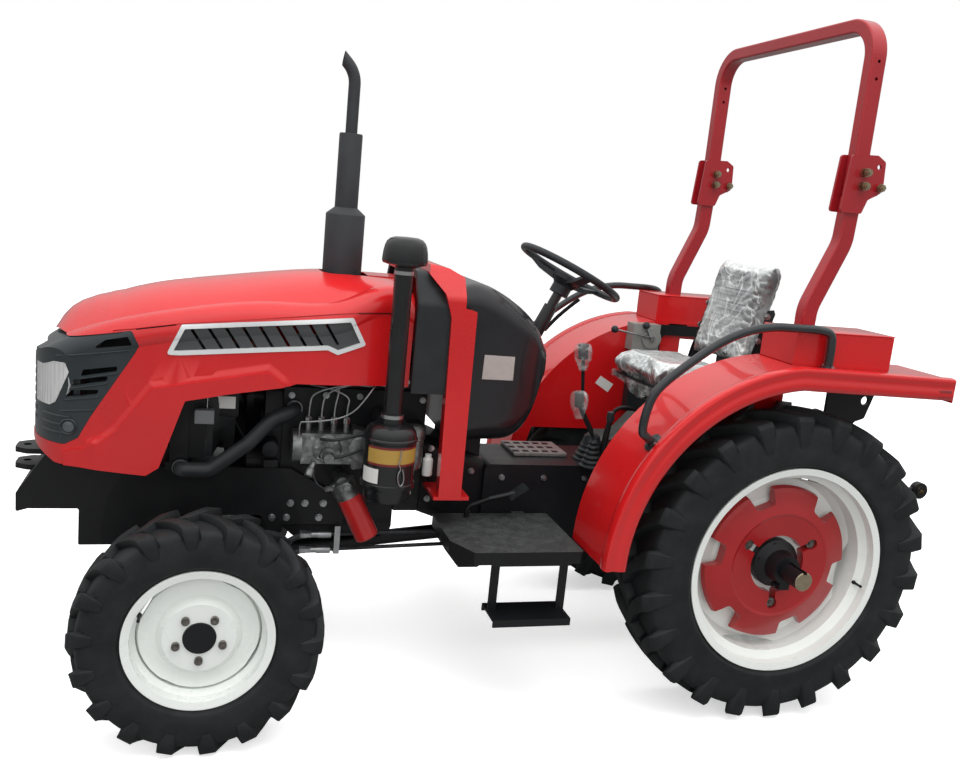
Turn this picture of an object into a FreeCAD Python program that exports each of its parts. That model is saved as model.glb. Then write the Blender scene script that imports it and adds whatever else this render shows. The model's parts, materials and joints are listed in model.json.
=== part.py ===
# Farm tractor with a folding roll-over guard, four-wheel drive, built piece by piece.
# Axes: +X forward, +Y to the tractor's left, +Z up.  Origin: on the ground, in the middle of the length.
# All sizes are millimetres.
import FreeCAD, Part
import math
import os

V = FreeCAD.Vector

# ---------------------------------------------------------------- driving dimensions
wheelbase = 2000.0
front_axle_x = 1120.5
rear_axle_x = front_axle_x - wheelbase

front_tyre_radius = 378.0
front_tyre_width = 194.0
front_rim_radius = 225.0
front_rim_width = 152.0
front_wheel_y = 613.0
front_disc_radius = 187.5
front_nut_circle = 144.0
front_nut_count = 5

rear_tyre_radius = 576.0
rear_tyre_width = 284.0
rear_rim_radius = 381.0
rear_rim_width = 264.0
rear_wheel_y = 575.0
rear_disc_radius = 331.5
weight_radius = 290.0
weight_bore = 108.0
weight_bolt_circle = 300.0
weight_bite_count = 6

sheet = 5.0
plate = 10.0
running_gap = 0.5
pin_gap = 0.2
seat_gap = 0.3

kingpin_y = 470.0
knuckle_end_y = 560.0
front_spindle_y = 506.0
rear_spindle_y = 240.0
tie_arm = 180.0
tie_rod_z = 271.0
steer_cylinder_arm = 90.0
steer_pivot_x = 92.0
steer_pivot_y = 128.0
steer_cylinder_z = 545.0

frame_half_width = 186.0
engine_front_x = front_axle_x - 250.0
engine_rear_x = front_axle_x - 760.0
frame_to_engine = 26.0
engine_half_width = frame_half_width - frame_to_engine
gearbox_rear_x = rear_axle_x - 176.0
gearbox_half_width = 170.0

hood_hinge_x = front_axle_x + 506.0
hood_hinge_z = 835.0
hood_rear_x = front_axle_x - 655.0
swage_height = 9.0
vent_slot_count = 9
vent_slot_pitch = 53.0
vent_slot_width = 11.0

clevis_low = 716.0
clevis_plate = 18.0
clevis_gap = 38.0
clevis_bore = 13.0

stack_x = front_axle_x - 440.0
stack_radius = 70.0
intake_x = front_axle_x - 588.0
intake_y = 404.0

floor_z = 610.0
fender_inner_y = 420.0
fender_outer_y = 724.0
fender_arc_radius = 712.0

guard_x = rear_axle_x - 150.0
guard_y = 510.0
guard_tube_x = 60.0
guard_tube_y = 50.0
guard_top_z = 2522.0
guard_wall = 5.0
guard_pivot_x = rear_axle_x - 226.0
guard_pivot_z = guard_top_z - 582.0

link_pivot_x = rear_axle_x - 90.0
link_pivot_z = rear_tyre_radius - 176.0
link_pivot_y = 250.0
link_ball_x = rear_axle_x - 833.0
link_ball_z = rear_tyre_radius + 191.0
link_ball_y = 341.0
lift_arm_length = 300.0
cowl_low = 905.0
wheel_radius = 204.0
wheel_hub_height = 284.0
rock_shaft_z = 880.0
lift_house_top = 930.0
seat_plate_z = 1110.0
seat_half_width = 222.0
back_half_width = 205.0
transfer_x = front_axle_x - 900.0
drive_shaft_z = 470.0
drive_shaft_radius = 28.0

parts = {}


# ---------------------------------------------------------------- shape helpers
def box(x0, x1, y0, y1, z0, z1):
    return Part.makeBox(x1 - x0, y1 - y0, z1 - z0, V(x0, y0, z0))


def rod(radius, start, end):
    start, end = V(*start), V(*end)
    return Part.makeCylinder(radius, (end - start).Length, start, end - start)


def cone(radius_0, radius_1, start, end):
    start, end = V(*start), V(*end)
    return Part.makeCone(radius_0, radius_1, (end - start).Length, start, end - start)


def rounded(points, radius):
    """Closed wire through points, each corner rounded by its own radius (or one for all)."""
    radii = radius if isinstance(radius, (list, tuple)) else [radius] * len(points)
    edges = []
    cuts = []
    count = len(points)
    for i in range(count):
        corner = points[i]
        before = (points[i - 1] - corner)
        after = (points[(i + 1) % count] - corner)
        turn = math.pi - before.getAngle(after)
        back = radii[i] * math.tan(turn / 2)
        back = min(back, before.Length * 0.49, after.Length * 0.49)
        if back < 0.01:
            cuts.append((corner, None, corner))
            continue
        size = back / math.tan(turn / 2)
        bisect = before.normalize() + after.normalize()
        bisect.normalize()
        middle = corner + bisect * (size / math.cos(turn / 2) - size)
        cuts.append((corner + before * back, middle, corner + after * back))
    for i in range(count):
        first, middle, last = cuts[i]
        if middle is not None:
            edges.append(Part.Arc(first, middle, last).toShape())
        following = cuts[(i + 1) % count][0]
        if (following - last).Length > 0.001:
            edges.append(Part.LineSegment(last, following).toShape())
    return Part.Wire(edges)


def slab(points, along, low, high, radius=0.0, shrink=0.0):
    """Prism of an outline: along is the axis it is pushed along; points are the other two axes."""
    place = {"x": lambda a, b: V(low, a, b), "y": lambda a, b: V(a, low, b),
             "z": lambda a, b: V(a, b, low)}[along]
    push = {"x": V(high - low, 0, 0), "y": V(0, high - low, 0), "z": V(0, 0, high - low)}[along]
    face = Part.Face(rounded([place(a, b) for a, b in points], radius))
    if shrink:
        face = face.makeOffset2D(-shrink)
    return face.extrude(push)


def pipe_path(points, bend):
    """Open wire of straight runs joined by tangent arcs."""
    points = [V(*p) for p in points]
    edges = []
    last = points[0]
    for i in range(1, len(points) - 1):
        corner = points[i]
        before = points[i - 1] - corner
        after = points[i + 1] - corner
        turn = math.pi - before.getAngle(after)
        back = min(bend * math.tan(turn / 2), before.Length * 0.48, after.Length * 0.48)
        size = back / math.tan(turn / 2)
        before.normalize()
        after.normalize()
        bisect = before + after
        bisect.normalize()
        middle = corner + bisect * (size / math.cos(turn / 2) - size)
        edges.append(Part.LineSegment(last, corner + before * back).toShape())
        edges.append(Part.Arc(corner + before * back, middle, corner + after * back).toShape())
        last = corner + after * back
    edges.append(Part.LineSegment(last, points[-1]).toShape())
    return Part.Wire(edges)


def pipe(points, radius, bend):
    """Round bar or tube's outside along straight runs with bends."""
    path = pipe_path(points, bend)
    start = V(*points[0])
    direction = V(*points[1]) - start
    circle = Part.Wire(Part.makeCircle(radius, start, direction))
    return path.makePipeShell([circle], True, False)


def square_pipe(points, half_x, half_y, wall, bend):
    """Rectangular tube along a bent path that starts upright, open at both ends."""
    path = pipe_path(points, bend)
    start = V(*points[0])
    solids = []
    for hx, hy, corner in ((half_x, half_y, 7.0), (half_x - wall, half_y - wall, 3.0)):
        corners = [start + V(-hx, -hy, 0), start + V(hx, -hy, 0), start + V(hx, hy, 0), start + V(-hx, hy, 0)]
        solids.append(path.makePipeShell([rounded(corners, corner)], True, False))
    return solids[0].cut(solids[1])


def fuse(*shapes):
    shapes = [s for group in shapes for s in (group if isinstance(group, list) else [group])]
    body = shapes[0]
    if len(shapes) > 1:
        body = body.fuse(shapes[1:])
    return body.removeSplitter()


def mirrored(shape):
    return shape.mirror(V(0, 0, 0), V(0, 1, 0))


def both_sides(shape):
    return [shape, mirrored(shape)]


def turned(shape, centre, axis, degrees):
    copy = shape.copy()
    copy.rotate(V(*centre), V(*axis), degrees)
    return copy


def around(shape, count, centre, axis, start=0.0):
    return [turned(shape, centre, axis, start + i * 360.0 / count) for i in range(count)]


def revolve_y(points, x, z, y_sign=1):
    """Solid of revolution about the line along Y through (x, z); points are (radius, y)."""
    wire = Part.makePolygon([V(x, y * y_sign, z + r) for r, y in points + points[:1]])
    return Part.Face(wire).revolve(V(x, 0, z), V(0, 1, 0), 360)


def keep(name, shape):
    parts[name] = Part.makeCompound(shape) if isinstance(shape, list) else shape


# ---------------------------------------------------------------- tyres and rims
def tyre_profile(radius, width, rim_radius, rim_width, middle_y):
    """Hollow carcass: beads inside the rim's flanges, bulging walls and a flat tread, open to the rim."""
    half, seat = width / 2, rim_width / 2 - 10.3
    bead, flange_top = rim_radius - 18.2, rim_radius + 0.4
    shoulder = radius - 0.09 * radius
    middle = (rim_radius + shoulder) / 2
    side = [(bead, seat), (flange_top, seat + 3), (rim_radius + 14, seat + 16), (middle, half),
            (shoulder, half - 6), (radius - 9, half - 20), (radius, half - 60)]
    lining = [(bead, seat - 18), (rim_radius + 10, seat - 12), (middle, half - 14),
              (shoulder - 14, half - 24), (radius - 30, half - 60)]
    right = [(r, middle_y + a) for r, a in side]
    left = [(r, middle_y - a) for r, a in reversed(side)]
    left_lining = [(r, middle_y - a) for r, a in lining]
    right_lining = [(r, middle_y + a) for r, a in reversed(lining)]
    return right + left + left_lining + right_lining


def rim_profile(rim_radius, rim_width, middle_y, well):
    """Rolled rim section: flanges, bead seats and a drop centre."""
    half, wall = rim_width / 2, 6.0
    y, bead = middle_y, rim_radius - 18.5
    outer = [(rim_radius, y - half), (rim_radius, y - half + 7), (bead, y - half + 10), (bead, y - half + 42),
             (bead - well, y - half + 62), (bead - well, y + half - 62), (bead, y + half - 42),
             (bead, y + half - 10), (rim_radius, y + half - 7), (rim_radius, y + half)]
    inner = [(rim_radius - 4, y + half), (bead - wall, y + half - 4), (bead - wall, y + half - 40),
             (bead - well - wall, y + half - 58), (bead - well - wall, y - half + 58),
             (bead - wall, y - half + 40), (bead - wall, y - half + 4), (rim_radius - 4, y - half)]
    return outer + inner


def disc_gaps(x, z, y0, y1, radius, start):
    """Crescents between a rim and the four flats pressed in its disc's edge."""
    flat = radius * math.cos(math.radians(20.0))
    beyond = box(x - radius, x + radius, y0, y1, z + flat, z + radius + 5)
    return Part.makeCompound(around(beyond, 4, (x, 0, z), (0, 1, 0), start))


def front_wheel():
    x, z, y = front_axle_x, front_tyre_radius, front_wheel_y
    tyre = revolve_y(tyre_profile(front_tyre_radius, front_tyre_width, front_rim_radius,
                                  front_rim_width, y), x, z)
    rim = revolve_y(rim_profile(front_rim_radius, front_rim_width, y, 14.0), x, z)
    face = y + front_rim_width / 2 - 27.0
    disc = revolve_y([(50.0, face), (50.0, face - 8), (104, face - 8), (124, face - 32),
                      (front_disc_radius - 15, face - 38), (front_disc_radius - 5, face - 62),
                      (front_disc_radius, face - 62), (front_disc_radius, face - 52),
                      (front_disc_radius - 9, face - 30), (128, face - 24), (108, face)], x, z)
    disc = disc.cut(disc_gaps(x, z, face - 90, face, front_disc_radius, -28.0))
    nut_hole = rod(9.0, (x, face - 40, z + front_nut_circle / 2), (x, face + 10, z + front_nut_circle / 2))
    disc = disc.cut(Part.makeCompound(around(nut_hole, front_nut_count, (x, 0, z), (0, 1, 0), 180.0)))
    hub = revolve_y([(0.0, front_spindle_y), (24.5, front_spindle_y), (24.5, knuckle_end_y + 6),
                     (60, knuckle_end_y + 6), (64, face - 62), (92, face - 30), (92, face - 8 - seat_gap),
                     (49, face - 8 - seat_gap), (49, face + 6), (0.0, face + 6)], x, z)
    studs = [rod(8.6, (x, face - 20, z + front_nut_circle / 2), (x, face + 16, z + front_nut_circle / 2))]
    nuts = [rod(12.5, (x, face + seat_gap, z + front_nut_circle / 2),
                (x, face + 13, z + front_nut_circle / 2))]
    stud = fuse(studs[0], nuts[0])
    hub = fuse(hub, around(stud, front_nut_count, (x, 0, z), (0, 1, 0), 180.0))
    return tyre, fuse(rim, disc), hub


def rear_wheel():
    x, z, y = rear_axle_x, rear_tyre_radius, rear_wheel_y
    tyre = revolve_y(tyre_profile(rear_tyre_radius, rear_tyre_width, rear_rim_radius,
                                  rear_rim_width, y), x, z)
    rim = revolve_y(rim_profile(rear_rim_radius, rear_rim_width, y, 26.0), x, z)
    face = y + 22.0
    bolt_z = z + weight_bolt_circle / 2
    disc = revolve_y([(90.0, face - 8), (90.0, face), (205, face), (235, face - 26),
                      (rear_disc_radius - 23, face - 30), (rear_disc_radius, face - 2),
                      (rear_disc_radius, face - 14), (rear_disc_radius - 19, face - 40),
                      (230, face - 35), (202, face - 8)], x, z)
    bolt_hole = rod(9.0, (x, face - 40, bolt_z), (x, face + 10, bolt_z))
    disc = disc.cut(disc_gaps(x, z, face - 80, face + 30, rear_disc_radius, -8.0))
    disc = disc.cut(Part.makeCompound(around(bolt_hole, 3, (x, 0, z), (0, 1, 0), 180.0)))
    # cast weight: a dished plate, bites out of its edge, three slots running from its bore to the bolts
    back = face + seat_gap
    weight = revolve_y([(weight_bore, back), (weight_radius - 3, back), (weight_radius, back + 6),
                        (weight_radius - 6, back + 25), (weight_radius - 20, back + 31),
                        (206, back + 50), (195, back + 53), (186, back + 49), (weight_bore, back + 38)], x, z)
    mouth, root = z + weight_radius + 12, z + weight_radius - 62
    bite = slab([(x - 36, root), (x + 36, root), (x + 58, mouth), (x - 58, mouth)], "y",
                back - 1, back + 60, 14.0)
    slot = fuse(box(x - 13, x + 13, back - 1, back + 60, z + weight_bore - 10, bolt_z),
                rod(20.0, (x, back + 26, bolt_z), (x, back + 60, bolt_z)),
                rod(13.0, (x, back - 1, bolt_z), (x, back + 60, bolt_z)))
    bites = around(bite, weight_bite_count, (x, 0, z), (0, 1, 0), 21.0)
    weight = weight.cut(Part.makeCompound(bites + around(slot, 3, (x, 0, z), (0, 1, 0), 180.0)))
    # hub clamped on the keyed axle shaft; the shaft stands out past it
    shaft_end = 800.0
    flange_front = face - 8 - seat_gap
    flange_radius = weight_bolt_circle / 2 + 24
    hub = revolve_y([(0.0, rear_spindle_y), (33.0, rear_spindle_y), (33.0, 520.0), (70, 520), (78, 560),
                     (84, flange_front - 14), (flange_radius, flange_front - 14),
                     (flange_radius, flange_front),
                     (89, flange_front), (89, face + 30), (60, face + 52), (52, 700), (34, 700),
                     (34, shaft_end - 3), (31, shaft_end), (0, shaft_end)], x, z)
    keyway = box(x - 8, x + 8, 704, shaft_end + 1, z + 27, z + 40)
    clamp = box(x - 20, x + 20, face + 60, 698, z - 74, z - 30)
    clamp_bolt = rod(9.0, (x - 34, 672, z - 62), (x + 34, 672, z - 62))
    hub = fuse(hub.cut(keyway), clamp, clamp_bolt)
    bolt = fuse(rod(8.7, (x, face - 30, bolt_z), (x, back + 40, bolt_z)),
                rod(18.0, (x, back + 26 + seat_gap, bolt_z), (x, back + 36, bolt_z)))
    inner_bolt = rod(9.0, (x, flange_front - 1, z + 74), (x, face + 38, z + 74))
    hub = fuse(hub, around(bolt, 3, (x, 0, z), (0, 1, 0), 180.0),
               around(inner_bolt, 6, (x, 0, z), (0, 1, 0), 15.0))
    return tyre, fuse(rim, disc), weight, hub


def wheels():
    tyre, rim, hub = front_wheel()
    for side, make in (("left", lambda s: s), ("right", mirrored)):
        keep("front_tyre_" + side, make(tyre))
        keep("front_rim_" + side, make(rim))
        keep("front_hub_" + side, make(hub))
    tyre, rim, weight, hub = rear_wheel()
    for side, make in (("left", lambda s: s), ("right", mirrored)):
        keep("rear_tyre_" + side, make(tyre))
        keep("rear_rim_" + side, make(rim))
        keep("rear_weight_" + side, make(weight))
        keep("rear_hub_" + side, make(hub))


# ---------------------------------------------------------------- front axle and steering
def front_axle():
    x, z = front_axle_x, front_tyre_radius
    beam = Part.makeLoft([
        rounded([V(x - 48, 90, z - 30), V(x + 48, 90, z - 30), V(x + 48, 90, z + 84),
                 V(x - 48, 90, z + 84)], 20.0),
        rounded([V(x - 42, 404, z - 4), V(x + 42, 404, z - 4), V(x + 42, 404, z + 84),
                 V(x - 42, 404, z + 84)], 20.0)],
        True, True)
    fork_top = rod(46.0, (x, kingpin_y, z + 92), (x, kingpin_y, z + 126))
    fork_low = rod(46.0, (x, kingpin_y, z - 132), (x, kingpin_y, z - 98))
    fork = slab([(380, z - 132), (kingpin_y, z - 132), (kingpin_y, z - 98), (404, z - 94), (404, z + 88),
                 (kingpin_y, z + 92), (kingpin_y, z + 126), (380, z + 126), (350, z + 84), (350, z - 20)],
                "x", x - 30, x + 30, 4.0)
    side = fuse(beam, fork_top, fork_low, fork)
    bore = rod(17.0 + pin_gap, (x, kingpin_y, z - 140), (x, kingpin_y, z + 140))
    side = side.cut(bore)
    diff = revolve_y([(0, -110), (96, -110), (118, -70), (124, 0), (118, 70), (96, 110), (0, 110)], x, z + 18)
    nose = cone(80.0, 52.0, (x - 60, 0, z + 18), (x - 205, 0, z + 18))
    trunnion = rod(46.0, (x + 60, 0, z + 18), (x + 178, 0, z + 18))
    cylinder_low = box(x + 30, x + 118, 84, 152, steer_cylinder_z - 33, steer_cylinder_z - 25)
    cylinder_high = box(x + 30, x + 118, 84, 152, steer_cylinder_z + 25, steer_cylinder_z + 33)
    cylinder_wall = box(x + 30, x + 42, 84, 152, z + 70, steer_cylinder_z + 33)
    pivot_hole = rod(9.0 + pin_gap, (x + steer_pivot_x, steer_pivot_y, steer_cylinder_z - 40),
                     (x + steer_pivot_x, steer_pivot_y, steer_cylinder_z + 40))
    brackets = fuse(cylinder_low, cylinder_high, cylinder_wall).cut(pivot_hole)
    axle = fuse(side, mirrored(side), diff, nose, trunnion, brackets)
    keep("front_axle", axle)


def knuckles():
    x, z = front_axle_x, front_tyre_radius
    case = Part.makeLoft([
        Part.Wire(Part.makeCircle(52.0, V(x, 446, z), V(0, 1, 0))),
        Part.Wire(Part.makeCircle(74.0, V(x, 506, z), V(0, 1, 0))),
        Part.Wire(Part.makeCircle(62.0, V(x, knuckle_end_y, z), V(0, 1, 0)))], True, False)
    post = rod(40.0, (x, kingpin_y, z - 92), (x, kingpin_y, z + 86))
    pins = rod(17.0, (x, kingpin_y, z - 134), (x, kingpin_y, z + 148))
    bore = rod(24.5 + running_gap, (x, front_spindle_y - 2, z), (x, 600, z))
    arm_low, arm_high = tie_rod_z + 13, tie_rod_z + 29
    arm = slab([(x + 6, kingpin_y - 26), (x + 6, kingpin_y + 26), (x - 60, kingpin_y + 24),
                (x - tie_arm, kingpin_y + 22), (x - tie_arm - 22, kingpin_y), (x - tie_arm, kingpin_y - 22),
                (x - 60, kingpin_y - 24)], "z", arm_low, arm_high, 12.0)
    stud = rod(8.0, (x - tie_arm, kingpin_y, arm_high), (x - tie_arm, kingpin_y, tie_rod_z - 18))
    knuckle = fuse(case, post, pins, arm, stud).cut(bore)
    keep("knuckle_right", mirrored(knuckle))
    eye_x, eye_y = x + steer_cylinder_arm, kingpin_y - 30.0
    top_arm = slab([(x - 24, kingpin_y - 24), (x - 24, kingpin_y + 24), (x + 30, kingpin_y + 22),
                    (eye_x + 10, eye_y + 18), (eye_x + 20, eye_y), (eye_x, eye_y - 20),
                    (x + 40, kingpin_y - 34)],
                   "z", z + 132, z + 148, 8.0)
    keep("knuckle_left", fuse(knuckle, top_arm))
    bar = rod(12.0, (x - tie_arm, -kingpin_y + 16, tie_rod_z), (x - tie_arm, kingpin_y - 16, tie_rod_z))
    end = rod(22.0, (x - tie_arm, kingpin_y, tie_rod_z - 13),
              (x - tie_arm, kingpin_y, tie_rod_z + 13 - seat_gap))
    hole = rod(8.0 + pin_gap, (x - tie_arm, kingpin_y, tie_rod_z - 30),
               (x - tie_arm, kingpin_y, tie_rod_z + 30))
    keep("tie_rod", fuse(bar, both_sides(end)).cut(Part.makeCompound(both_sides(hole))))
    pivot_x = x + steer_pivot_x
    direction = V(eye_x - pivot_x, eye_y - steer_pivot_y, 0)
    reach = direction.Length
    direction.normalize()

    def along(distance):
        return (pivot_x + direction.x * distance, steer_pivot_y + direction.y * distance, steer_cylinder_z)

    pivot_eye = rod(18.0, (pivot_x, steer_pivot_y, steer_cylinder_z - 20),
                    (pivot_x, steer_pivot_y, steer_cylinder_z + 20))
    barrel = fuse(pivot_eye, rod(21.0, along(16), along(206)), rod(24.0, along(188), along(208)))
    barrel = barrel.cut(rod(11.0 + pin_gap, along(40), along(230)))
    pivot_pin = rod(9.0, (pivot_x, steer_pivot_y, steer_cylinder_z - 38),
                    (pivot_x, steer_pivot_y, steer_cylinder_z + 38))
    keep("steering_cylinder", fuse(barrel, pivot_pin))
    rod_eye = fuse(rod(17.0, (eye_x, eye_y, steer_cylinder_z - 15), (eye_x, eye_y, steer_cylinder_z + 16)),
                   rod(9.0, (eye_x, eye_y, z + 149), (eye_x, eye_y, steer_cylinder_z + 26)))
    keep("cylinder_rod", fuse(rod_eye, rod(11.0, along(122), along(reach - 12))))


# ---------------------------------------------------------------- front frame, radiator, engine
def front_frame():
    x = front_axle_x
    outer, inner = frame_half_width, frame_half_width - 16.0
    rail = slab([(x + 596, 611), (x + 596, 676), (x + 508, 808), (x + 480, 808),
                 (x + 462, 772), (x - 284, 772),
                 (x - 430, 690), (x - 480, 690), (x - 480, 566), (x - 210, 566), (x - 190, 600),
                 (x + 132, 600), (x + 168, 494),
                 (x + 404, 494), (x + 404, 622), (x + 560, 622)], "y", inner, outer, 6.0)
    top = box(x - 60, x + 462, -inner, inner, 754, 772)
    floor = box(x + 168, x + 400, -inner, inner, 494, 512)
    front = slab([(x + 584, 611), (x + 596, 611), (x + 596, 676), (x + 508, 808),
                  (x + 494, 808), (x + 584, 672)],
                 "y", -inner, inner, 1.0)
    clevis = slab([(x + 470, -60), (x + 585, -60), (x + 626, -34), (x + 626, 34),
                   (x + 585, 60), (x + 470, 60)],
                  "z", clevis_low, clevis_low + clevis_plate, 16.0)
    clevis_hole = rod(clevis_bore, (x + 592, 0, 700), (x + 592, 0, 820))
    upper = clevis.copy()
    upper.translate(V(0, 0, clevis_plate + clevis_gap))
    web = box(x + 462, x + 478, -60, 60, 700, 800)
    axle_mount_front = box(x + 126, x + 166, -80, 80, front_tyre_radius + 18 - 76, 500)
    trunnion_z = front_tyre_radius + 18
    front_bore = rod(46.0 + running_gap, (x + 100, 0, trunnion_z), (x + 200, 0, trunnion_z))
    rear_mount = box(x - 172, x - 138, -84, 84, trunnion_z - 74, 572)
    cross = box(x - 249, x - 138, -inner, inner, 566, 584)
    cross_front = box(x + 126, x + 172, -80, 80, 494, 512)
    nose_hole = rod(66.0, (x - 300, 0, trunnion_z), (x - 100, 0, trunnion_z))
    ear = slab([(hood_hinge_x - 34, 806), (hood_hinge_x - 34, 770), (hood_hinge_x - 8, 770),
                (hood_hinge_x + 12, 822),
                (hood_hinge_x + 16, 835), (hood_hinge_x, 852), (hood_hinge_x - 16, 846)], "y", 120, 130, 3.0)
    pin_hole = rod(8.0 + pin_gap, (hood_hinge_x, -200, hood_hinge_z), (hood_hinge_x, 200, hood_hinge_z))
    ears = [ear.cut(pin_hole), mirrored(ear).cut(pin_hole)]
    mount = fuse(axle_mount_front.cut(front_bore), cross_front)
    rear = fuse(rear_mount, cross).cut(nose_hole)
    frame = fuse(rail, mirrored(rail), top, floor, front, clevis.cut(clevis_hole),
                 upper.cut(clevis_hole), web,
                 mount, rear, ears)
    keep("front_frame", frame)


def radiator():
    x = front_axle_x
    core = box(x + 62, x + 122, -215, 215, 800, 1200)
    top = slab([(-225, 1200), (225, 1200), (225, 1238), (190, 1262), (-190, 1262), (-225, 1238)],
               "x", x + 50, x + 134, 8.0)
    foot = box(x + 50, x + 134, -225, 225, 772.3, 800)
    shroud = box(x + 6, x + 62, -205, 205, 810, 1190).cut(rod(190.0, (x - 10, 0, 990), (x + 60.5, 0, 990)))
    cap = rod(26.0, (x + 92, 80, 1262), (x + 92, 80, 1282))
    keep("radiator", fuse(core, top, foot, shroud, cap))


def engine():
    x0, x1, w = engine_rear_x, engine_front_x, engine_half_width
    block = box(x0, x1, -w, w, 640, 1060)
    sump = slab([(x0 + 90, 641), (x0 + 90, 540), (x0 + 104, 505), (x1 - 60, 505), (x1, 560), (x1, 641)],
                "y", -w + 24, w - 24, [0, 10.0, 10.0, 14.0, 14.0, 0])
    pan = box(x0, x0 + 90, -w + 10, w - 10, 606, 641)
    head = box(x0 + 14, x1 - 14, -w + 28, w - 28, 1060, 1150)
    rocker = slab([(-92, 1150), (92, 1150), (92, 1195), (66, 1218), (-66, 1218), (-92, 1195)],
                  "x", x0 + 40, x1 - 40, 12.0)
    keep("engine_block", fuse(block, sump, pan, head, rocker))
    cover = slab([(-150, 640), (150, 640), (150, 900), (110, 1050), (-110, 1050), (-150, 900)],
                 "x", x1 + seat_gap, x1 + 60, 24.0)
    pump_neck = rod(34.0, (x1 + 60, 0, 990), (x1 + 118, 0, 990))
    pulley = rod(72.0, (x1 + 96, 0, 990), (x1 + 122, 0, 990))
    crank = rod(84.0, (x1 + 50, 0, 740), (x1 + 112, 0, 740))
    alternator = rod(58.0, (x1 - 60, -228, 960), (x1 + 100, -228, 960))
    alternator_foot = box(x1 + 20, x1 + 50, -200, -130, 930, 990)
    hub_x = x1 + 130
    fan_shaft = rod(12.0, (x1 + 118, 0, 990), (hub_x + 24, 0, 990))
    hub = rod(46.0, (hub_x, 0, 990), (hub_x + 34, 0, 990))
    blade = slab([(-34, 1030), (34, 1030), (52, 1170), (-40, 1170)], "x", hub_x + 12, hub_x + 17, 10.0)
    blade = turned(blade, (hub_x + 14.5, 0, 1100), (0, 0, 1), 24.0)
    fan = fuse(hub, around(blade, 6, (hub_x, 0, 990), (1, 0, 0)))
    keep("cooling_fan", fan.cut(rod(12.0 + running_gap, (hub_x - 5, 0, 990), (hub_x + 24.5, 0, 990))))
    keep("timing_cover", fuse(cover, pump_neck, pulley, crank, fan_shaft, alternator, alternator_foot))
    # row injection pump with its four pipes' unions and governor
    y0 = w + seat_gap
    body = box(x1 - 236, x1 - 60, y0, y0 + 96, 812, 920)
    governor = slab([(x1 - 300, 800), (x1 - 236, 790), (x1 - 236, 940), (x1 - 290, 928)], "y",
                    y0 + 8, y0 + 90, 10.0)
    flange = rod(58.0, (x1 - 60, y0 + 58, 868), (x1 - 30, y0 + 58, 868))
    unions = []
    for i in range(4):
        place = x1 - 216 + i * 44
        unions.append(rod(11.0, (place, y0 + 48, 918), (place, y0 + 48, 962)))
    lift = rod(26.0, (x1 - 150, y0 + 94, 850), (x1 - 150, y0 + 124, 850))
    return fuse(body, governor, flange, unions, lift)


def filters():
    x = front_axle_x
    w = engine_half_width + seat_gap
    lean_top, lean_low = V(x - 470, 300, 724), V(x - 552, 318, 566)
    direction = lean_low - lean_top
    length = direction.Length
    direction.normalize()
    head = Part.makeCylinder(46.0, 44.0, lean_top, direction * -1)
    neck = rod(22.0, (x - 456, w, 752), (x - 456, 290, 752))
    keep("engine_castings", [engine(), fuse(head, neck)])
    spin_on = Part.makeCylinder(42.0, length, lean_top + direction * seat_gap, direction)
    end = lean_top + direction * (length + seat_gap)
    rim_edges = [e for e in spin_on.Edges if abs(e.CenterOfMass.distanceToPoint(end)) < 1]
    keep("oil_filter", spin_on.makeFillet(9.0, rim_edges))
    # air cleaner canister, strapped to a bracket on the engine
    cx, cy = intake_x, intake_y
    can = fuse(rod(88.0, (cx, cy, 800), (cx, cy, 962)), cone(88.0, 74.0, (cx, cy, 962), (cx, cy, 1002)),
               rod(92.0, (cx, cy, 786), (cx, cy, 806)), rod(80.0, (cx, cy, 738), (cx, cy, 790)),
               rod(92.0, (cx, cy, 946), (cx, cy, 958)))
    strap = box(cx - 30, cx + 30, w, cy - 60, 860, 900)
    outlet = rod(32.0, (cx, cy - 40, 975), (cx, 176, 975))
    pipe_low = 1001
    stack = fuse(rod(31.0, (cx, cy, pipe_low), (cx, cy, 1524)), rod(37.0, (cx, cy, pipe_low), (cx, cy, 1040)),
                 cone(37.0, 72.0, (cx, cy, 1520), (cx, cy, 1546)), rod(74.0, (cx, cy, 1546), (cx, cy, 1590)),
                 cone(74.0, 48.0, (cx, cy, 1590), (cx, cy, 1622)))
    keep("air_cleaner", fuse(can, strap, outlet, stack))
    # exhaust: flange on the head, muffler, then two thinner pipes and a turned-over end
    ex = stack_x
    low_pipe = fuse(rod(34.0, (ex, 0, 1218 + seat_gap), (ex, 0, 1400)),
                    rod(52.0, (ex, 0, 1218 + seat_gap), (ex, 0, 1232)))
    muffler = fuse(cone(34.0, stack_radius, (ex, 0, 1400), (ex, 0, 1430)),
                   rod(stack_radius, (ex, 0, 1430), (ex, 0, 1664)),
                   cone(stack_radius, 43.0, (ex, 0, 1664), (ex, 0, 1690)))
    middle = fuse(rod(41.0, (ex, 0, 1690), (ex, 0, 1936)), cone(41.0, 25.0, (ex, 0, 1936), (ex, 0, 1948)))
    tip = pipe([(ex, 0, 1948), (ex, 0, 2150), (ex + 34, 0, 2236)], 21.0, 110.0)
    keep("exhaust_stack", fuse(low_pipe, muffler, middle, tip))


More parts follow.
